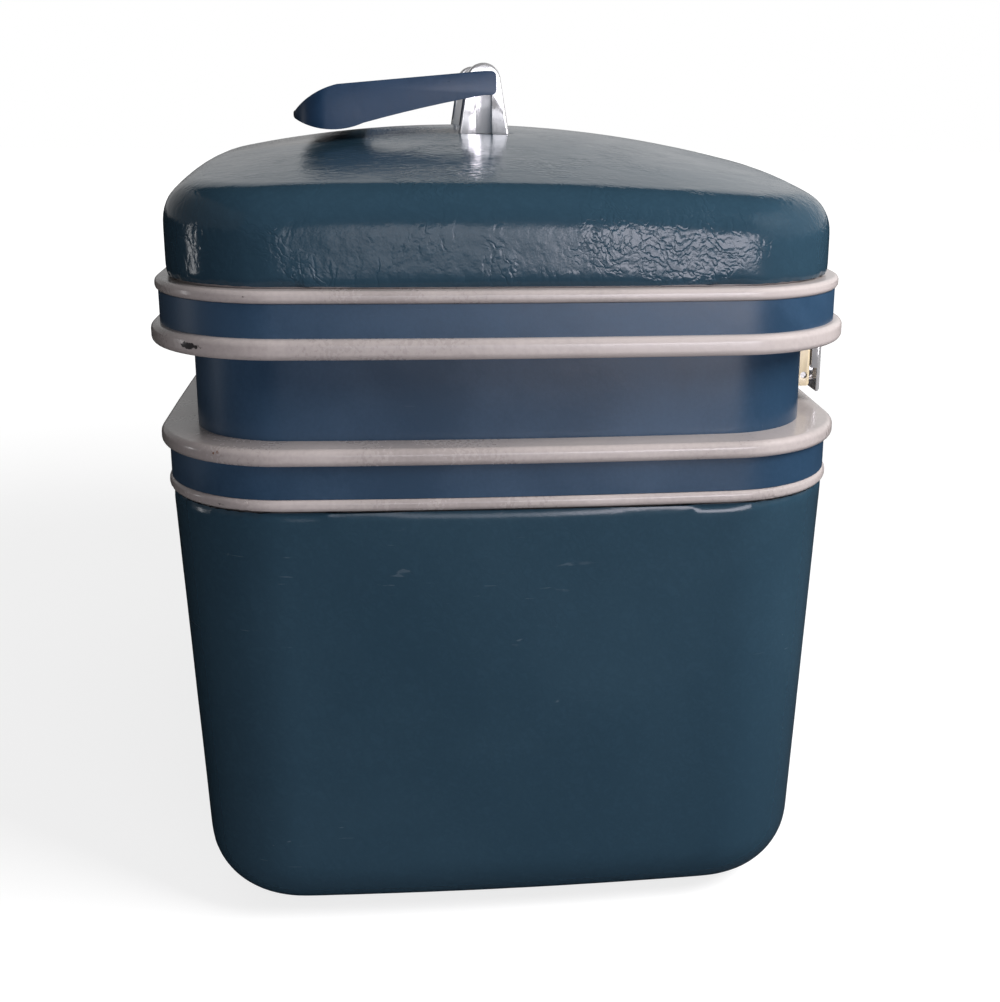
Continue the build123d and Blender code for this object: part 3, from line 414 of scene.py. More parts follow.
@once
def painted_bead(tree, shader, place, tints):
    """Taupe paint on metal: mottled, faint orange peel, chipped to dark metal in places."""
    paint, mottle, _ = worn(tree, place, shade(tints.bead, 0.86), shade(tints.bead, 1.22), 11.0, 0.7, 0.5,
                            (0.10, 0.085, 0.08))
    *chips, rust = (use_group(tree, "chip", Vector=place, Place=spot, Spread=spread, Ragged=ragged)["Mask"]
                    for spot, spread, ragged in (*BEAD_CHIPS, RUST_SPOT))
    chipped = chips[0]
    for mask in chips[1:]:
        chipped = maths(tree, "MAXIMUM", chipped, mask)
    paint = mix_colour(tree, rust, mix_colour(tree, chipped, paint, tints.chip), tints.rust)
    rough = line(tree, chipped, 0.25, line(tree, mottle, 0.10, 0.24))
    finish(tree, shader, Base_Color=paint, Roughness=rough,
           Coat_Weight=0.25, Coat_Roughness=0.12)
    bump(tree, shader, line(tree, chipped, -0.6, noise(tree, place, 420.0)), 0.00012, 0.6)


@once
def moulded_handle(tree, shader, place, tints):
    """Glossy blue moulding with light handling marks."""
    paint, mottle, scuff = worn(tree, place, tints.handle, shade(tints.handle, 1.25, 0.003), 40.0, 0.7, 0.4,
                                (0.12, 0.17, 0.24))
    finish(tree, shader, Base_Color=paint, Roughness=line(tree, scuff, 0.3, line(tree, mottle, 0.12, 0.26)),
           Specular_IOR_Level=0.36)
    bump(tree, shader, noise(tree, place, 260.0), 0.00010, 0.5)


def metal(tree, shader, place, tint, rough, brushed, stretch, metallic=1.0):
    """Metal with hairlines and dull spots; below 1, its plating has a pale bloom."""
    lines = noise(tree, vector_maths(tree, "MULTIPLY", place, stretch), 1.0, 3.0, 0.6)
    dull = ramp(tree, noise(tree, place, 160.0, 3.0, 0.6), 0.5, 0.75)
    finish(tree, shader, Base_Color=mix_colour(tree, times(tree, dull, 0.5), tint, shade(tint, 0.80)),
           Metallic=metallic, Roughness=line(tree, dull, 0.08, line(tree, lines, brushed, rough)))
    bump(tree, shader, lines, 0.00002, 0.35)


@once
def bright_metal(tree, shader, place, tints):
    """Bright plating with a few dull spots."""
    metal(tree, shader, place, tints.bright, 0.06, 0.05, (300.0, 300.0, 300.0), 0.72)


@once
def plain_steel(tree, shader, place, tints):
    """Plain plated steel of hinges, pins and links."""
    metal(tree, shader, place, tints.steel, 0.30, 0.16, (180.0, 1900.0, 180.0))


@once
def beige_enamel(tree, shader, place, tints):
    """Beige enamel with rubbed scratches and specks."""
    paint, mottle, _ = worn(tree, place, shade(tints.enamel, 0.84), tints.enamel, 70.0, 0.6, 0.6,
                            (0.20, 0.16, 0.12))
    finish(tree, shader, Base_Color=paint, Roughness=line(tree, mottle, 0.12, 0.26))
    bump(tree, shader, noise(tree, place, 700.0), 0.00005, 0.5)


@once
def quilted_cloth(tree, shader, place, tints):
    """Satin lining cloth: weave on the lining's own map, soft sheen, painted shade between the threads."""
    flat = add_node(tree, "ShaderNodeUVMap", uv_map=CLOTH_MAP)
    weave = use_group(tree, "weave", Vector=flat.outputs["UV"])
    mottle = use_group(tree, "mottle", Vector=place, Dark=shade(tints.cloth, 0.72), Light=tints.cloth,
                       Size=22.0)
    # Painted shade: the cloth is darker where the weave is low, between the threads
    cloth = mix_colour(tree, line(tree, weave["Shade"], -0.25, 0.25), mottle["Color"],
                       shade(tints.cloth, 0.45))
    rough = line(tree, weave["Shade"], 0.12, 0.42)
    finish(tree, shader, Base_Color=cloth, Roughness=rough, Sheen_Weight=0.35,
           Sheen_Roughness=0.4)
    bump(tree, shader, weave["Height"], 0.00006, 0.6)


@once
def sewing_thread(tree, shader, place, tints):
    """Twisted thread, paler than the cloth."""
    twist = noise(tree, vector_maths(tree, "MULTIPLY", place, (2600.0, 2600.0, 900.0)), 1.0)
    finish(tree, shader, Base_Color=mix_colour(tree, twist, shade(tints.thread, 0.6), tints.thread),
           Roughness=0.6)
    bump(tree, shader, twist, 0.00004, 0.6)


def moulding(tree, shader, place, tint, rough, peel_size):
    """Satin moulded plastic with a fine spark-eroded texture."""
    paint, mottle, _ = worn(tree, place, tint, shade(tint, 1.12, 0.002), 30.0, 0.4, 0.35,
                            shade(tint, 1.6, 0.03))
    finish(tree, shader, Base_Color=paint, Roughness=line(tree, mottle, 0.1, rough))
    bump(tree, shader, noise(tree, place, peel_size, 3.0), 0.00006, 0.6)


@once
def tray_plastic(tree, shader, place, tints):
    """Satin tray moulding."""
    moulding(tree, shader, place, tints.tray, 0.38, 1500.0)


@once
def bezel_plastic(tree, shader, place, tints):
    """Satin bezel moulding."""
    moulding(tree, shader, place, tints.bezel, 0.30, 1200.0)


@once
def stud_plastic(tree, shader, place, tints):
    """Dull dark studs."""
    moulding(tree, shader, place, tints.stud, 0.55, 900.0)


@once
def silvered_glass(tree, shader, place, tints):
    """Mirror with faint haze."""
    haze = ramp(tree, noise(tree, place, 35.0, 3.0), 0.45, 0.8)
    finish(tree, shader, Base_Color=mix_colour(tree, haze, (0.90, 0.91, 0.91), (0.80, 0.82, 0.83)),
           Metallic=1.0, Roughness=line(tree, haze, 0.05, 0.015))


def seen_rays(tree):
    """1 for the camera, transmission and glossy rays, to which the background is pale."""
    light = tree.nodes.new("ShaderNodeLightPath").outputs
    through = maths(tree, "MAXIMUM", light["Is Camera Ray"], light["Is Transmission Ray"])
    return maths(tree, "MAXIMUM", through, light["Is Glossy Ray"])


@once
def pale_floor(tree, shader, place, tints):
    """Pale floor that keeps the case's shadow and whitens away from it."""
    dust = noise(tree, place, 3.0, 3.0)
    away = ramp(tree, vector_maths(tree, "LENGTH", place), 0.35, 1.3)
    finish(tree, shader, Base_Color=mix_colour(tree, dust, tints.floor, shade(tints.floor, 1.03)),
           Roughness=0.9, Specular_IOR_Level=0.0, Emission_Color=WHITE,
           Emission_Strength=times(tree, seen_rays(tree), line(tree, away, 0.28, 0.78)))


@once
def dark_cloth(tree, shader, place, tints):
    """Dull dark card."""
    wisp = noise(tree, place, 4.0, 3.0)
    finish(tree, shader, Base_Color=mix_colour(tree, wisp, (0.02, 0.02, 0.022), (0.04, 0.04, 0.042)),
           Roughness=0.9, Specular_IOR_Level=0.0)


@once
def grey_wall(tree, shader, place, tints):
    """Card that glows grey, more at the room's far end and a little more towards its front."""
    parts = split(tree, place)
    along = line(tree, ramp(tree, parts["X"], 0.4, 2.4), 0.55, 0.45)
    finish(tree, shader, Base_Color=(0.02, 0.02, 0.02), Emission_Color=WHITE,
           Emission_Strength=times(tree, line(tree, parts["Y"], -0.12, 0.58), along))


# Pieces

# A turn between faces, in degrees, from which an edge is eased
SHARP_TURN = 35.0
# Rounds of smoothing on an even skin, and the most triangles that it keeps
CALM_ROUNDS = 6
MOST_TRIANGLES = 190000


def link(thing):
    """Put an object in the scene."""
    bpy.context.scene.collection.objects.link(thing)
    return thing


def dress(names, material):
    """Give carried-over nodes a finish through their objects' own slots."""
    for name in names:
        for slot in nodes[name].material_slots:
            slot.link = "OBJECT"
            slot.material = material


def smooth_shade(mesh, angle):
    """Smooth faces, sharp where the surface turns by more than an angle in degrees."""
    mesh.polygons.foreach_set("use_smooth", [True] * len(mesh.polygons))
    mesh.set_sharp_from_angle(angle=radians(angle))
    mesh.update()


def merged_copy(name, label):
    """Own object with a welded copy of a node's mesh."""
    mesh = nodes[name].data.copy()
    mesh.name = label
    mesh.materials.clear()
    for old in [a.name for a in mesh.attributes if a.name.startswith("custom_normal")]:
        mesh.attributes.remove(mesh.attributes[old])
    form = bmesh.new()
    form.from_mesh(mesh)
    bmesh.ops.remove_doubles(form, verts=form.verts, dist=1e-6)
    form.to_mesh(mesh)
    form.free()
    return link(bpy.data.objects.new(label, mesh))


def applied(thing):
    """Turn an object's modifiers into its mesh."""
    graph = bpy.context.evaluated_depsgraph_get()
    mesh = bpy.data.meshes.new_from_object(thing.evaluated_get(graph), depsgraph=graph)
    thing.modifiers.clear()
    old = thing.data
    thing.data = mesh
    bpy.data.meshes.remove(old)
    mesh.name = thing.name
    return thing


def stand_for(piece, name, material):
    """Finish a piece that takes one node's place."""
    piece.data.materials.clear()
    piece.data.materials.append(material)
    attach(piece, nodes[name]["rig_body"])
    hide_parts(name)
    return piece


def eased(name, width, material, segments=3):
    """Copy of a node with its sharp edges rounded over."""
    piece = merged_copy(name, f"{name}_eased")
    form = bmesh.new()
    form.from_mesh(piece.data)
    bmesh.ops.dissolve_limit(form, angle_limit=radians(0.6), verts=form.verts, edges=form.edges)
    sharp = [e for e in form.edges if len(e.link_faces) == 2 and e.calc_face_angle() > radians(SHARP_TURN)]
    bmesh.ops.bevel(form, geom=sharp, offset=width, offset_type="OFFSET", segments=segments, profile=0.5,
                    affect="EDGES", clamp_overlap=True, harden_normals=False)
    form.to_mesh(piece.data)
    form.free()
    smooth_shade(piece.data, 40.0)
    return stand_for(piece, name, material)


def thin_inside(piece, most):
    """Join small faces of a shell's inner wall, which the lining hides, until the piece is light enough."""
    count = sum(len(face.vertices) - 2 for face in piece.data.polygons)
    if count <= most:
        return
    centre = Vector([(min(side) + max(side)) / 2 for side in zip(*piece.bound_box)])
    group = piece.vertex_groups.new(name="inner_wall")
    group.add([v.index for v in piece.data.vertices if v.normal.dot(v.co - centre) < 0.0], 1.0, "REPLACE")
    fewer = piece.modifiers.new("fewer", "DECIMATE")
    fewer.ratio = most / count
    fewer.vertex_group = group.name
    applied(piece)
    piece.vertex_groups.clear()


def even_skin(name, voxel, material):
    """Copy of a moulded shell with an even mesh, so that its gloss runs clean over the curves."""
    piece = merged_copy(name, f"{name}_skin")
    remesh = piece.modifiers.new("even", "REMESH")
    remesh.mode = "VOXEL"
    remesh.voxel_size = voxel
    remesh.adaptivity = 0.0
    wrap = piece.modifiers.new("on_the_frame", "SHRINKWRAP")
    wrap.target = nodes[name]
    wrap.wrap_method = "NEAREST_SURFACEPOINT"
    calm = piece.modifiers.new("calm", "SMOOTH")
    calm.factor = 0.5
    calm.iterations = CALM_ROUNDS
    applied(piece)
    thin_inside(piece, MOST_TRIANGLES)
    smooth_shade(piece.data, 50.0)
    return stand_for(piece, name, material)


# Geometry Nodes

# Share of the pitch that each stitch covers
STITCH_SHARE = 0.66
GEOMETRY, FINISH, TURN = "NodeSocketGeometry", "NodeSocketMaterial", "NodeSocketRotation"


def grow_copies(tree, given, put, points, shape, turn):
    """End of a tree: a shape copied to points, made real and given its finish."""
    smooth = add_node(tree, "GeometryNodeSetShadeSmooth", {"Geometry": shape})
    placed = add_node(tree, "GeometryNodeInstanceOnPoints", {
        "Points": points, "Instance": smooth.outputs[0], "Rotation": turn})
    real = add_node(tree, "GeometryNodeRealizeInstances", {"Geometry": placed.outputs[0]})
    done = add_node(tree, "GeometryNodeSetMaterial", {"Geometry": real.outputs[0],
                                                      "Material": given["Finish"]})
    plug(tree, put["Geometry"], done.outputs[0])
    return tree


def rivet_tree():
    """Domed heads on points, turned to face one way."""
    tree, given, put = new_group("GeometryNodeTree", "domed_heads", [
        ("Geometry", GEOMETRY, None), ("Head Radius", FLOAT, 0.003), ("Head Rise", FLOAT, 0.001),
        ("Turn", TURN, None), ("Finish", FINISH, None)], [("Geometry", GEOMETRY)])
    ball = add_node(tree, "GeometryNodeMeshUVSphere", {"Segments": 28, "Rings": 14,
                                                       "Radius": given["Head Radius"]})
    flat = maths(tree, "DIVIDE", given["Head Rise"], given["Head Radius"])
    scale = add_node(tree, "ShaderNodeCombineXYZ", {"X": 1.0, "Y": 1.0, "Z": flat})
    dome = add_node(tree, "GeometryNodeTransform", {"Geometry": ball.outputs["Mesh"],
                                                    "Scale": scale.outputs[0]})
    return grow_copies(tree, given, put, given["Geometry"], dome.outputs[0], given["Turn"])


def stitch_tree():
    """Short stitches laid along edges."""
    if "stitches" in bpy.data.node_groups:
        return bpy.data.node_groups["stitches"]
    tree, given, put = new_group("GeometryNodeTree", "stitches", [
        ("Geometry", GEOMETRY, None), ("Pitch", FLOAT, 0.004), ("Thickness", FLOAT, 0.0005),
        ("Finish", FINISH, None)], [("Geometry", GEOMETRY)])
    curve = add_node(tree, "GeometryNodeMeshToCurve", {"Mesh": given["Geometry"]})
    points = add_node(tree, "GeometryNodeCurveToPoints", {
        "Curve": curve.outputs[0], "Length": given["Pitch"]}, mode="LENGTH").outputs
    rod = add_node(tree, "GeometryNodeMeshCylinder", {
        "Vertices": 5, "Side Segments": 2, "Radius": given["Thickness"],
        "Depth": times(tree, given["Pitch"], STITCH_SHARE)})
    return grow_copies(tree, given, put, points["Points"], rod.outputs["Mesh"], points["Rotation"])


def grown(name, points, edges, tree, values, body):
    """Plain mesh that a tree grows on points or edges, riding on a body."""
    mesh = bpy.data.meshes.new(name)
    mesh.from_pydata(points, edges, [])
    piece = link(bpy.data.objects.new(name, mesh))
    grow = piece.modifiers.new("grow", "NODES")
    grow.node_group = tree
    for item in tree.interface.items_tree:
        if item.item_type == "SOCKET" and item.in_out == "INPUT" and item.name in values:
            grow[item.identifier] = values[item.name]
    applied(piece)
    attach(piece, body)
    return piece


# Lining

# The case's plan, as in the frame: half its sides, how far they bow out, and the corners' radius
CASE = {"half_length": 0.167, "half_depth": 0.1181, "end_bow": 0.004, "side_bow": 0.003, "corner": 0.047}


def outline(inset, count):
    """Points and outward directions round the case's plan, drawn in by inset; count for a quarter."""
    reach = CASE["half_length"] - inset
    depth = CASE["half_depth"] - inset
    side_radius = (reach ** 2 + CASE["side_bow"] ** 2) / (2 * CASE["side_bow"])
    end_radius = (depth ** 2 + CASE["end_bow"] ** 2) / (2 * CASE["end_bow"])
    side_middle = Vector((0.0, depth + CASE["side_bow"] - side_radius))
    end_middle = Vector((reach + CASE["end_bow"] - end_radius, 0.0))
    corner = min(max(CASE["corner"] - inset, 0.003), depth * 0.8)
    to_side = side_radius - corner
    to_end = end_radius - corner
    between = end_middle - side_middle
    gap = between.length
    along = (to_side ** 2 - to_end ** 2 + gap ** 2) / (2 * gap)
    off = sqrt(max(to_side ** 2 - along ** 2, 0.0))
    unit = between / gap
    middle = side_middle + unit * along + Vector((-unit.y, unit.x)) * off
    if middle.y < 0 or middle.x < 0:
        middle = side_middle + unit * along - Vector((-unit.y, unit.x)) * off
    end_turn = atan2((middle - end_middle).y, (middle - end_middle).x)
    side_turn = atan2((middle - side_middle).y, (middle - side_middle).x)
    for_end, for_corner = int(count * 0.32), int(count * 0.2)
    quarter = []
    for centre, radius, first, last, steps in (
            (end_middle, end_radius, 0.0, end_turn, for_end),
            (middle, corner, end_turn, side_turn, for_corner),
            (side_middle, side_radius, side_turn, pi / 2, count - for_end - for_corner)):
        for k in range(steps):
            turn = first + (last - first) * k / steps
            way = Vector((cos(turn), sin(turn)))
            quarter.append((centre + way * radius, way))
    top = (Vector((0.0, depth + CASE["side_bow"])), Vector((0.0, 1.0)))
    across, down = Matrix(((-1, 0), (0, 1))), Matrix(((1, 0), (0, -1)))
    half = quarter + [top] + [(across @ point, across @ way) for point, way in reversed(quarter[1:])]
    left = (Vector((-quarter[0][0].x, 0.0)), Vector((-1.0, 0.0)))
    return half + [left] + [(down @ point, down @ way) for point, way in reversed(half[1:])]


def lining_path(rim_inset, rim, flat_inset, flat, radius, steps):
    """Inside line of a lining from rim to the middle of its flat: inset, height, inward direction, kind."""
    way = 1.0 if flat > rim else -1.0
    tilt = atan2(flat_inset - rim_inset, abs(flat - rim))
    room = radius * (1 - sin(tilt)) / cos(tilt)
    bend = flat - way * radius
    centre_inset = flat_inset + radius / cos(tilt) - radius * (sin(tilt) / cos(tilt))
    path = []
    wall_end = abs(bend - rim) + radius * sin(tilt)
    for k in range(steps[0]):
        rise = wall_end * k / steps[0]
        path.append((rim_inset + rise * (flat_inset - rim_inset) / abs(flat - rim), rim + way * rise,
                     (cos(tilt), -way * sin(tilt)), "wall"))
    for k in range(steps[1]):
        turn = tilt + (pi / 2 - tilt) * k / steps[1]
        path.append((centre_inset - radius * cos(turn), bend + way * radius * sin(turn),
                     (cos(turn), -way * sin(turn)), "bend"))
    last = CASE["half_depth"] - 0.004
    for k in range(steps[2] + 1):
        share = k / steps[2]
        path.append((centre_inset + (last - centre_inset) * share, flat, (0.0, -way), "flat"))
    return path


# Below 1, a diamond is fuller than a sine wave
PUFF_POWER = 0.55
# Thickness of the lining's board, and how far the stitches stand off it
BOARD = 0.0010
STITCH_LIFT = 0.0003
# The stitches start this far below the rim, and the diamonds rise over the hem
RIM_MARGIN = 0.004
HEM = 0.006


def quilt(across, along, size):
    """Rise of a quilted diamond pattern, 0 in its seams and 1 in the middle of a diamond."""
    first = abs(sin(pi * (across + along) / size))
    second = abs(sin(pi * (across - along) / size))
    return (first * second) ** PUFF_POWER


def quilted_skin(name, path, calm, sizes):
    """Closed padded skin: a quilted inner face, a plain outer face and a hem at the rim."""
    count = sizes.column_count
    rings = [outline(inset, count) for inset, _, _, _ in path]
    total = len(rings[0])
    lengths = [0.0]
    for k in range(total):
        lengths.append(lengths[-1] + (rings[0][(k + 1) % total][0] - rings[0][k][0]).length)
    repeat = lengths[-1] / max(1, round(lengths[-1] / sizes.quilt_size))
    points, faces, maps = [], [], []
    run = 0.0
    for row, (inset, height, into, kind) in enumerate(path):
        if row:
            run += hypot(inset - path[row - 1][0], height - path[row - 1][1])
        for k in range(total):
            point, way = rings[row][k]
            if kind == "flat":
                lift = quilt(point.x, point.y, sizes.quilt_size)
            else:
                lift = quilt(lengths[k], run, repeat)
            lift *= sizes.quilt_puff * calm(point.x, point.y, height, run, kind)
            points.append((point.x - way.x * into[0] * lift, point.y - way.y * into[0] * lift,
                           height + into[1] * lift))
            maps.append((lengths[k], run))
    inner = len(points)
    for row, (inset, height, into, kind) in enumerate(path):
        ring = outline(inset - BOARD * into[0], count)
        for k in range(total):
            point = ring[k][0]
            points.append((point.x, point.y, height - into[1] * BOARD))
            maps.append((lengths[k], run))
    rows = len(path)
    for row in range(rows - 1):
        for k in range(total):
            after = (k + 1) % total
            a, b = row * total + k, row * total + after
            faces.append((a, b, b + total, a + total))
            faces.append((inner + a + total, inner + b + total, inner + b, inner + a))
    for k in range(total):
        after = (k + 1) % total
        faces.append((k, inner + k, inner + after, after))
    middle = (rows - 1) * total
    faces.append(tuple(middle + k for k in range(total)))
    faces.append(tuple(inner + middle + k for k in reversed(range(total))))
    mesh = bpy.data.meshes.new(name)
    mesh.from_pydata(points, [], faces)
    flat = mesh.uv_layers.new(name=CLOTH_MAP)
    for loop in mesh.loops:
        flat.data[loop.index].uv = maps[loop.vertex_index]
    form = bmesh.new()
    form.from_mesh(mesh)
    bmesh.ops.recalc_face_normals(form, faces=form.faces)
    form.to_mesh(mesh)
    form.free()
    smooth_shade(mesh, 60.0)
    return link(bpy.data.objects.new(name, mesh)), lengths, repeat


def seam_lines(path, lengths, repeat, count):
    """Edges along the diamonds' seams on a lining's wall."""
    points, edges = [], []
    walls = [entry for entry in path if entry[3] == "wall"]
    rings = [outline(entry[0], count) for entry in walls]
    whole = lengths[-1]

    def spot(row, across):
        across = across % whole
        low = bisect_right(lengths, across) - 1
        share = (across - lengths[low]) / (lengths[low + 1] - lengths[low])
        first, second = rings[row][low], rings[row][(low + 1) % len(rings[row])]
        point = first[0].lerp(second[0], share) - first[1] * STITCH_LIFT
        return (point.x, point.y, walls[row][1])

    runs = [0.0]
    for row in range(1, len(walls)):
        runs.append(runs[-1] + hypot(walls[row][0] - walls[row - 1][0], walls[row][1] - walls[row - 1][1]))
    sewn = [row for row in range(len(walls)) if runs[row] > RIM_MARGIN]
    for k in range(round(whole / repeat)):
        for way in (1.0, -1.0):
            start = len(points)
            points += [spot(row, k * repeat + way * runs[row]) for row in sewn]
            edges += [(start + n, start + n + 1) for n in range(len(sewn) - 1)]
    return points, edges


def sewn_lining(name, path, calm, body, sizes):
    """Quilted lining with its stitches, riding on a body."""
    piece, lengths, repeat = quilted_skin(f"{name}_quilt", path, calm, sizes)
    stand_for(piece, name, quilted_cloth())
    points, edges = seam_lines(path, lengths, repeat, sizes.column_count)
    seams = grown(f"{name}_stitches", points, edges, stitch_tree(), {
        "Pitch": sizes.stitch_pitch, "Thickness": sizes.stitch_size / 2, "Finish": sewing_thread()}, body)


# Operators

# Rivets' distance from the middle of a hinge, and how deep their domes sit in the flat heads
RIVET_REACH = 0.010
HEAD_SINK = 0.0008
# Where the quilt lies flat: behind the tray's rails, behind the mirror's bezel and under the stay's foot
RAIL_FROM, RAIL_REACH, RAIL_LOW, RAIL_HIGH = 0.110, 0.062, 0.138, 0.160
BEZEL_LENGTH, BEZEL_DEPTH = 0.106, 0.071
FOOT_FROM, FOOT_FRONT, FOOT_BACK, FOOT_TOP = 0.14, 0.018, 0.046, 0.228


class CASE_OT_shells(bpy.types.Operator):
    """Make even skins for the body and lid shells and give them their grain"""
    bl_idname = "case.shells"
    bl_label = "Shells"

    def execute(self, context):
        for name in ("body_shell", "lid_shell"):
            even_skin(name, context.scene.case_sizes.shell_voxel, grained_shell())
        return {"FINISHED"}


class CASE_OT_frames(bpy.types.Operator):
    """Paint the frames' beads and finish the bands"""
    bl_idname = "case.frames"
    bl_label = "Frames and Bands"

    def execute(self, context):
        for name in ("body_frame", "lid_frame", "body_band", "neck_band", "lid_band"):
            piece = merged_copy(name, f"{name}_welded")
            smooth_shade(piece.data, 25.0)
            stand_for(piece, name, painted_bead() if name.endswith("frame") else smooth_band())
        return {"FINISHED"}


class CASE_OT_handle(bpy.types.Operator):
    """Round the handle's edges, and finish its posts, pins, plates and screws"""
    bl_idname = "case.handle"
    bl_label = "Handle"

    def execute(self, context):
        sizes = context.scene.case_sizes
        eased("handle", sizes.handle_edge, moulded_handle(), 4)
        for side in ("left", "right"):
            eased(f"handle_post_{side}", sizes.post_edge, bright_metal())
            eased(f"handle_pin_{side}", sizes.fitting_edge, plain_steel())
        dress(["handle_plate_left", "handle_plate_right", "handle_screws"], plain_steel())
        return {"FINISHED"}


class CASE_OT_latches(bpy.types.Operator):
    """Ease the edges of both latches and finish each of their pieces"""
    bl_idname = "case.latches"
    bl_label = "Latches"

    def execute(self, context):
        width = context.scene.case_sizes.fitting_edge
        for side in ("left", "right"):
            eased(f"latch_base_{side}", width, beige_enamel())
            for name in ("hasp", "button", "lock"):
                eased(f"latch_{name}_{side}", width, bright_metal())
            eased(f"latch_catch_{side}", width, plain_steel())
            dress([f"latch_pin_{side}", f"latch_spring_{side}"], plain_steel())
        dress(["latch_rivets"], plain_steel())
        return {"FINISHED"}


class CASE_OT_hinges(bpy.types.Operator):
    """Ease the hinges and grow domed heads on their rivets"""
    bl_idname = "case.hinges"
    bl_label = "Hinges"

    def execute(self, context):
        sizes = context.scene.case_sizes
        dress(["hinge_rivets_body", "hinge_rivets_lid"], plain_steel())
        low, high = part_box("hinge_rivets_body")
        points = []
        for side in ("left", "right"):
            eased(f"hinge_body_leaf_{side}", sizes.fitting_edge, plain_steel())
            eased(f"hinge_lid_leaf_{side}", sizes.fitting_edge, plain_steel())
            dress([f"hinge_pin_{side}"], plain_steel())
            leaf_low, leaf_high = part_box(f"hinge_body_leaf_{side}")
            middle = (leaf_low[0] + leaf_high[0]) / 2
            points += [(middle + reach, high[1] - HEAD_SINK, (low[2] + high[2]) / 2)
                       for reach in (-RIVET_REACH, RIVET_REACH)]
        turn = Vector((0.0, 1.0, 0.0)).to_track_quat("Z", "Y").to_euler()
        piece = grown("hinge_rivet_domes", points, [], rivet_tree(), {
            "Head Radius": sizes.rivet_radius, "Head Rise": sizes.rivet_rise, "Turn": turn,
            "Finish": plain_steel()}, "case")
        return {"FINISHED"}


class CASE_OT_body_lining(bpy.types.Operator):
    """Make the quilted lining of the body and sew its diamonds"""
    bl_idname = "case.body_lining"
    bl_label = "Body Lining"

    def execute(self, context):
        def calm(x, y, height, run, kind):
            """The quilt lies flat at the hem and behind the tray's rails."""
            rail = abs(x) > RAIL_FROM and abs(y) < RAIL_REACH and RAIL_LOW < height < RAIL_HIGH
            return 0.0 if rail else min(1.0, max(0.0, (run - HEM) / HEM))

        path = lining_path(rim_inset=0.009802, rim=0.1777, flat_inset=0.014005, flat=0.0060, radius=0.0205,
                           steps=(56, 12, 32))
        sewn_lining("body_lining", path, calm, "case", context.scene.case_sizes)
        return {"FINISHED"}


class CASE_OT_lid_lining(bpy.types.Operator):
    """Make the quilted lining of the lid and sew its diamonds"""
    bl_idname = "case.lid_lining"
    bl_label = "Lid Lining"

    def execute(self, context):
        def calm(x, y, height, run, kind):
            """The quilt lies flat at the hem, behind the mirror and under the stay's foot."""
            bezel = kind == "flat" and abs(x) < BEZEL_LENGTH and abs(y) < BEZEL_DEPTH
            foot = x > FOOT_FROM and FOOT_FRONT < y < FOOT_BACK and height < FOOT_TOP
            return 0.0 if bezel or foot else min(1.0, max(0.0, (run - RIM_MARGIN) / HEM))

        path = lining_path(rim_inset=0.0111, rim=0.2103, flat_inset=0.0111, flat=0.2524, radius=0.0108,
                           steps=(16, 8, 34))
        sewn_lining("lid_lining", path, calm, "lid", context.scene.case_sizes)
        return {"FINISHED"}


class CASE_OT_inside(bpy.types.Operator):
    """Finish the tray, its rails, the mirror and its bezel"""
    bl_idname = "case.inside"
    bl_label = "Tray and Mirror"

    def execute(self, context):
        width = context.scene.case_sizes.fitting_edge
        eased("tray", 2 * width, tray_plastic())
        eased("mirror_frame", 2 * width, bezel_plastic())
        dress(["tray_rail_left", "tray_rail_right"], tray_plastic())
        dress(["mirror"], silvered_glass())
        return {"FINISHED"}


class CASE_OT_stay(bpy.types.Operator):
    """Ease the stay's links and brackets"""
    bl_idname = "case.stay"
    bl_label = "Stay"

    def execute(self, context):
        width = context.scene.case_sizes.fitting_edge
        for name in ("stay_lower_link", "stay_upper_link", "stay_elbow_rivet", "stay_body_bracket",
                     "stay_lid_bracket"):
            eased(name, width, plain_steel())
        return {"FINISHED"}


class CASE_OT_feet(bpy.types.Operator):
    """Finish the studs under the case"""
    bl_idname = "case.feet"
    bl_label = "Feet"

    def execute(self, context):
        for side in ("left", "right"):
            dress([f"foot_back_{side}", f"foot_front_{side}"], stud_plastic())
        return {"FINISHED"}


# Stage

# Room of cards that glossy rays alone see: its corners, and the heights of its floor, low walls and top
ROOM = ((-2.3, -1.9), (2.6, -1.9), (2.6, 1.9), (-2.3, 1.9))
ROOM_LEVELS = (0.0015, 0.34, 2.2)
# Its upper walls at both sides and at the far end, by face, glow grey
GREY_WALLS = (6, 7, 9)

# Lights: place, aim, width, height, watts and tint
LIGHTS = {
    "window": ((-1.75, -0.39, 0.18), (-0.165, -0.10, 0.22), 1.40, 0.48, 6.0, (0.93, 0.93, 1.0)),
    "bright_pane": ((-1.74, -0.64, 0.18), (-0.165, -0.10, 0.22), 0.80, 0.48, 9.6, (0.97, 0.91, 1.0)),
    "side_pane": ((-0.05, 1.35, 0.14), (-0.13, 0.10, 0.22), 0.12, 0.30, 0.6, WHITE),
    "soft_box": ((-0.44, -0.60, 0.70), (-0.08, 0.0, 0.15), 0.45, 0.45, 11.0, WHITE),
}

# Camera: place in metres, turn in radians, focal length in mm and shift
CAMERA_PLACE = (-0.5878, 0.0305, 0.2918)
YAW, PITCH, ROLL = -0.105, -0.255, 0.009
FOCAL_LENGTH = 48.44
SHIFT_X, SHIFT_Y = -0.0548, -0.0617


def stage_piece(name, points, faces, *materials):
    """Mesh that belongs to the stage."""
    mesh = bpy.data.meshes.new(name)
    mesh.from_pydata(points, [], faces)
    for material in materials:
        mesh.materials.append(material)
    piece = link(bpy.data.objects.new(name, mesh))
    return piece


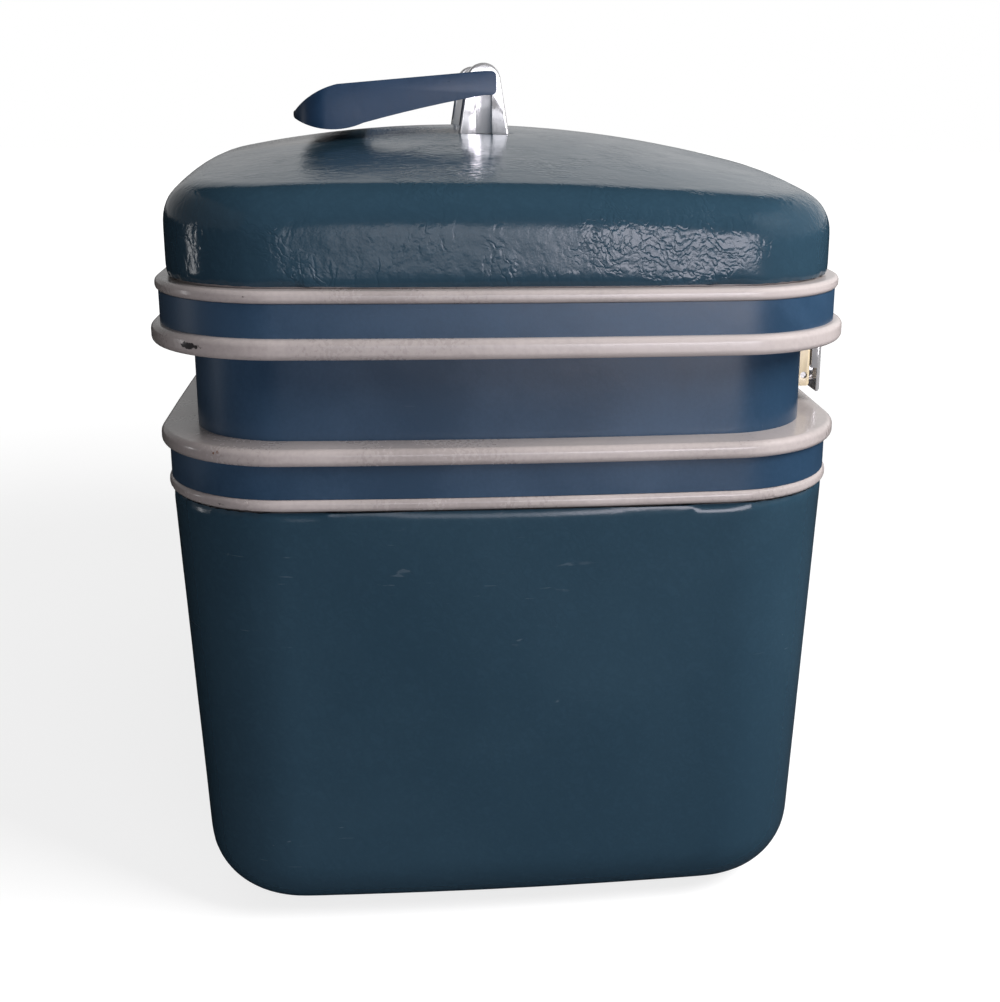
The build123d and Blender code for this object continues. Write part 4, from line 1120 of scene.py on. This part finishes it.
def glossy_cards():
    """Cards round the stage for glossy rays: a dark room with grey upper walls at its sides and far end."""
    points = [(x, y, z) for z in ROOM_LEVELS for x, y in ROOM]
    faces = [(0, 1, 2, 3), (8, 9, 10, 11)] + [(i, (i + 1) % 4, (i + 1) % 4 + 4, i + 4) for i in range(4)]
    faces += [(4, 5, 9, 8), (6, 7, 11, 10), (7, 4, 8, 11), (5, 6, 10, 9)]
    card = stage_piece("glossy_cards", points, faces, dark_cloth(), grey_wall())
    for number in GREY_WALLS:
        card.data.polygons[number].material_index = 1
    for ray in ("camera", "diffuse", "transmission", "shadow", "volume_scatter"):
        setattr(card, f"visible_{ray}", False)


def area_light(name, place, aim, width, height, power, tint):
    """Rectangular soft light."""
    lamp = bpy.data.lights.new(name, "AREA")
    lamp.shape = "RECTANGLE"
    lamp.size = width
    lamp.size_y = height
    lamp.energy = power
    lamp.color = tint
    holder = link(bpy.data.objects.new(name, lamp))
    holder.location = place
    holder.rotation_euler = (Vector(aim) - Vector(place)).to_track_quat("-Z", "Y").to_euler()
    return holder


def plain_world(scene):
    """World that lights little and shows white."""
    world = bpy.data.worlds.new("plain_room")
    world.use_nodes = True
    scene.world = world
    tree = world.node_tree
    plug(tree, tree.nodes["Background"].inputs["Strength"], line(tree, seen_rays(tree), 0.77, 0.23))
    plug(tree, tree.nodes["Background"].inputs["Color"], WHITE)


def camera():
    """Camera at the photograph's place and angle."""
    lens = bpy.data.cameras.new("camera")
    lens.sensor_fit = "HORIZONTAL"
    lens.sensor_width = 36.0
    lens.lens = FOCAL_LENGTH
    lens.shift_x = SHIFT_X
    lens.shift_y = SHIFT_Y
    lens.clip_start = 0.01
    holder = link(bpy.data.objects.new("camera", lens))
    ahead = Vector((cos(YAW) * cos(PITCH), sin(YAW) * cos(PITCH), sin(PITCH)))
    level = Vector((sin(YAW), -cos(YAW), 0.0))
    upright = level.cross(ahead)
    right = level * cos(ROLL) + upright * sin(ROLL)
    above = upright * cos(ROLL) - level * sin(ROLL)
    turn = Matrix((right, above, -ahead)).transposed()
    holder.matrix_world = Matrix.Translation(CAMERA_PLACE) @ turn.to_4x4()
    return holder


class CASE_OT_stage(bpy.types.Operator):
    """Lay the floor, set the lights and the world, and place the camera"""
    bl_idname = "case.stage"
    bl_label = "Stage"

    def execute(self, context):
        scene = context.scene
        stage_piece("floor", [(-6, -6, 0), (6, -6, 0), (6, 6, 0), (-6, 6, 0)], [(0, 1, 2, 3)], pale_floor())
        plain_world(scene)
        lamps = {name: area_light(name, *values) for name, values in LIGHTS.items()}
        lamps["soft_box"].visible_glossy = False
        glossy_cards()
        scene.camera = camera()
        scene.view_settings.view_transform = "Standard"
        return {"FINISHED"}


class CASE_PT_panel(bpy.types.Panel):
    """Sidebar panel of the train case"""
    bl_label = "Train Case"
    bl_idname = "CASE_PT_panel"
    bl_space_type = "VIEW_3D"
    bl_region_type = "UI"
    bl_category = "Train Case"

    def draw(self, context):
        for group in (context.scene.case_sizes, context.scene.case_colours):
            box = self.layout.box()
            for label in group.__annotations__:
                box.prop(group, label)
        for operator in OPERATORS:
            self.layout.operator(operator.bl_idname)


OPERATORS = (CASE_OT_shells, CASE_OT_frames, CASE_OT_handle, CASE_OT_latches, CASE_OT_hinges,
             CASE_OT_body_lining, CASE_OT_lid_lining, CASE_OT_inside, CASE_OT_stay, CASE_OT_feet,
             CASE_OT_stage)
CLASSES = (CaseSizes, CaseColours, *OPERATORS, CASE_PT_panel)


def register():
    """Register the add-on's classes and its settings."""
    for item in CLASSES:
        bpy.utils.register_class(item)
    bpy.types.Scene.case_sizes = PointerProperty(type=CaseSizes)
    bpy.types.Scene.case_colours = PointerProperty(type=CaseColours)


def unregister():
    """Remove the add-on's settings and classes."""
    del bpy.types.Scene.case_colours
    del bpy.types.Scene.case_sizes
    for item in reversed(CLASSES):
        bpy.utils.unregister_class(item)


def main():
    """Dress the whole case."""
    register()
    bpy.ops.case.shells()
    bpy.ops.case.frames()
    bpy.ops.case.handle()
    bpy.ops.case.latches()
    bpy.ops.case.hinges()
    bpy.ops.case.body_lining()
    bpy.ops.case.lid_lining()
    bpy.ops.case.inside()
    bpy.ops.case.stay()
    bpy.ops.case.feet()
    bpy.ops.case.stage()


if __name__ == "__main__":
    main()
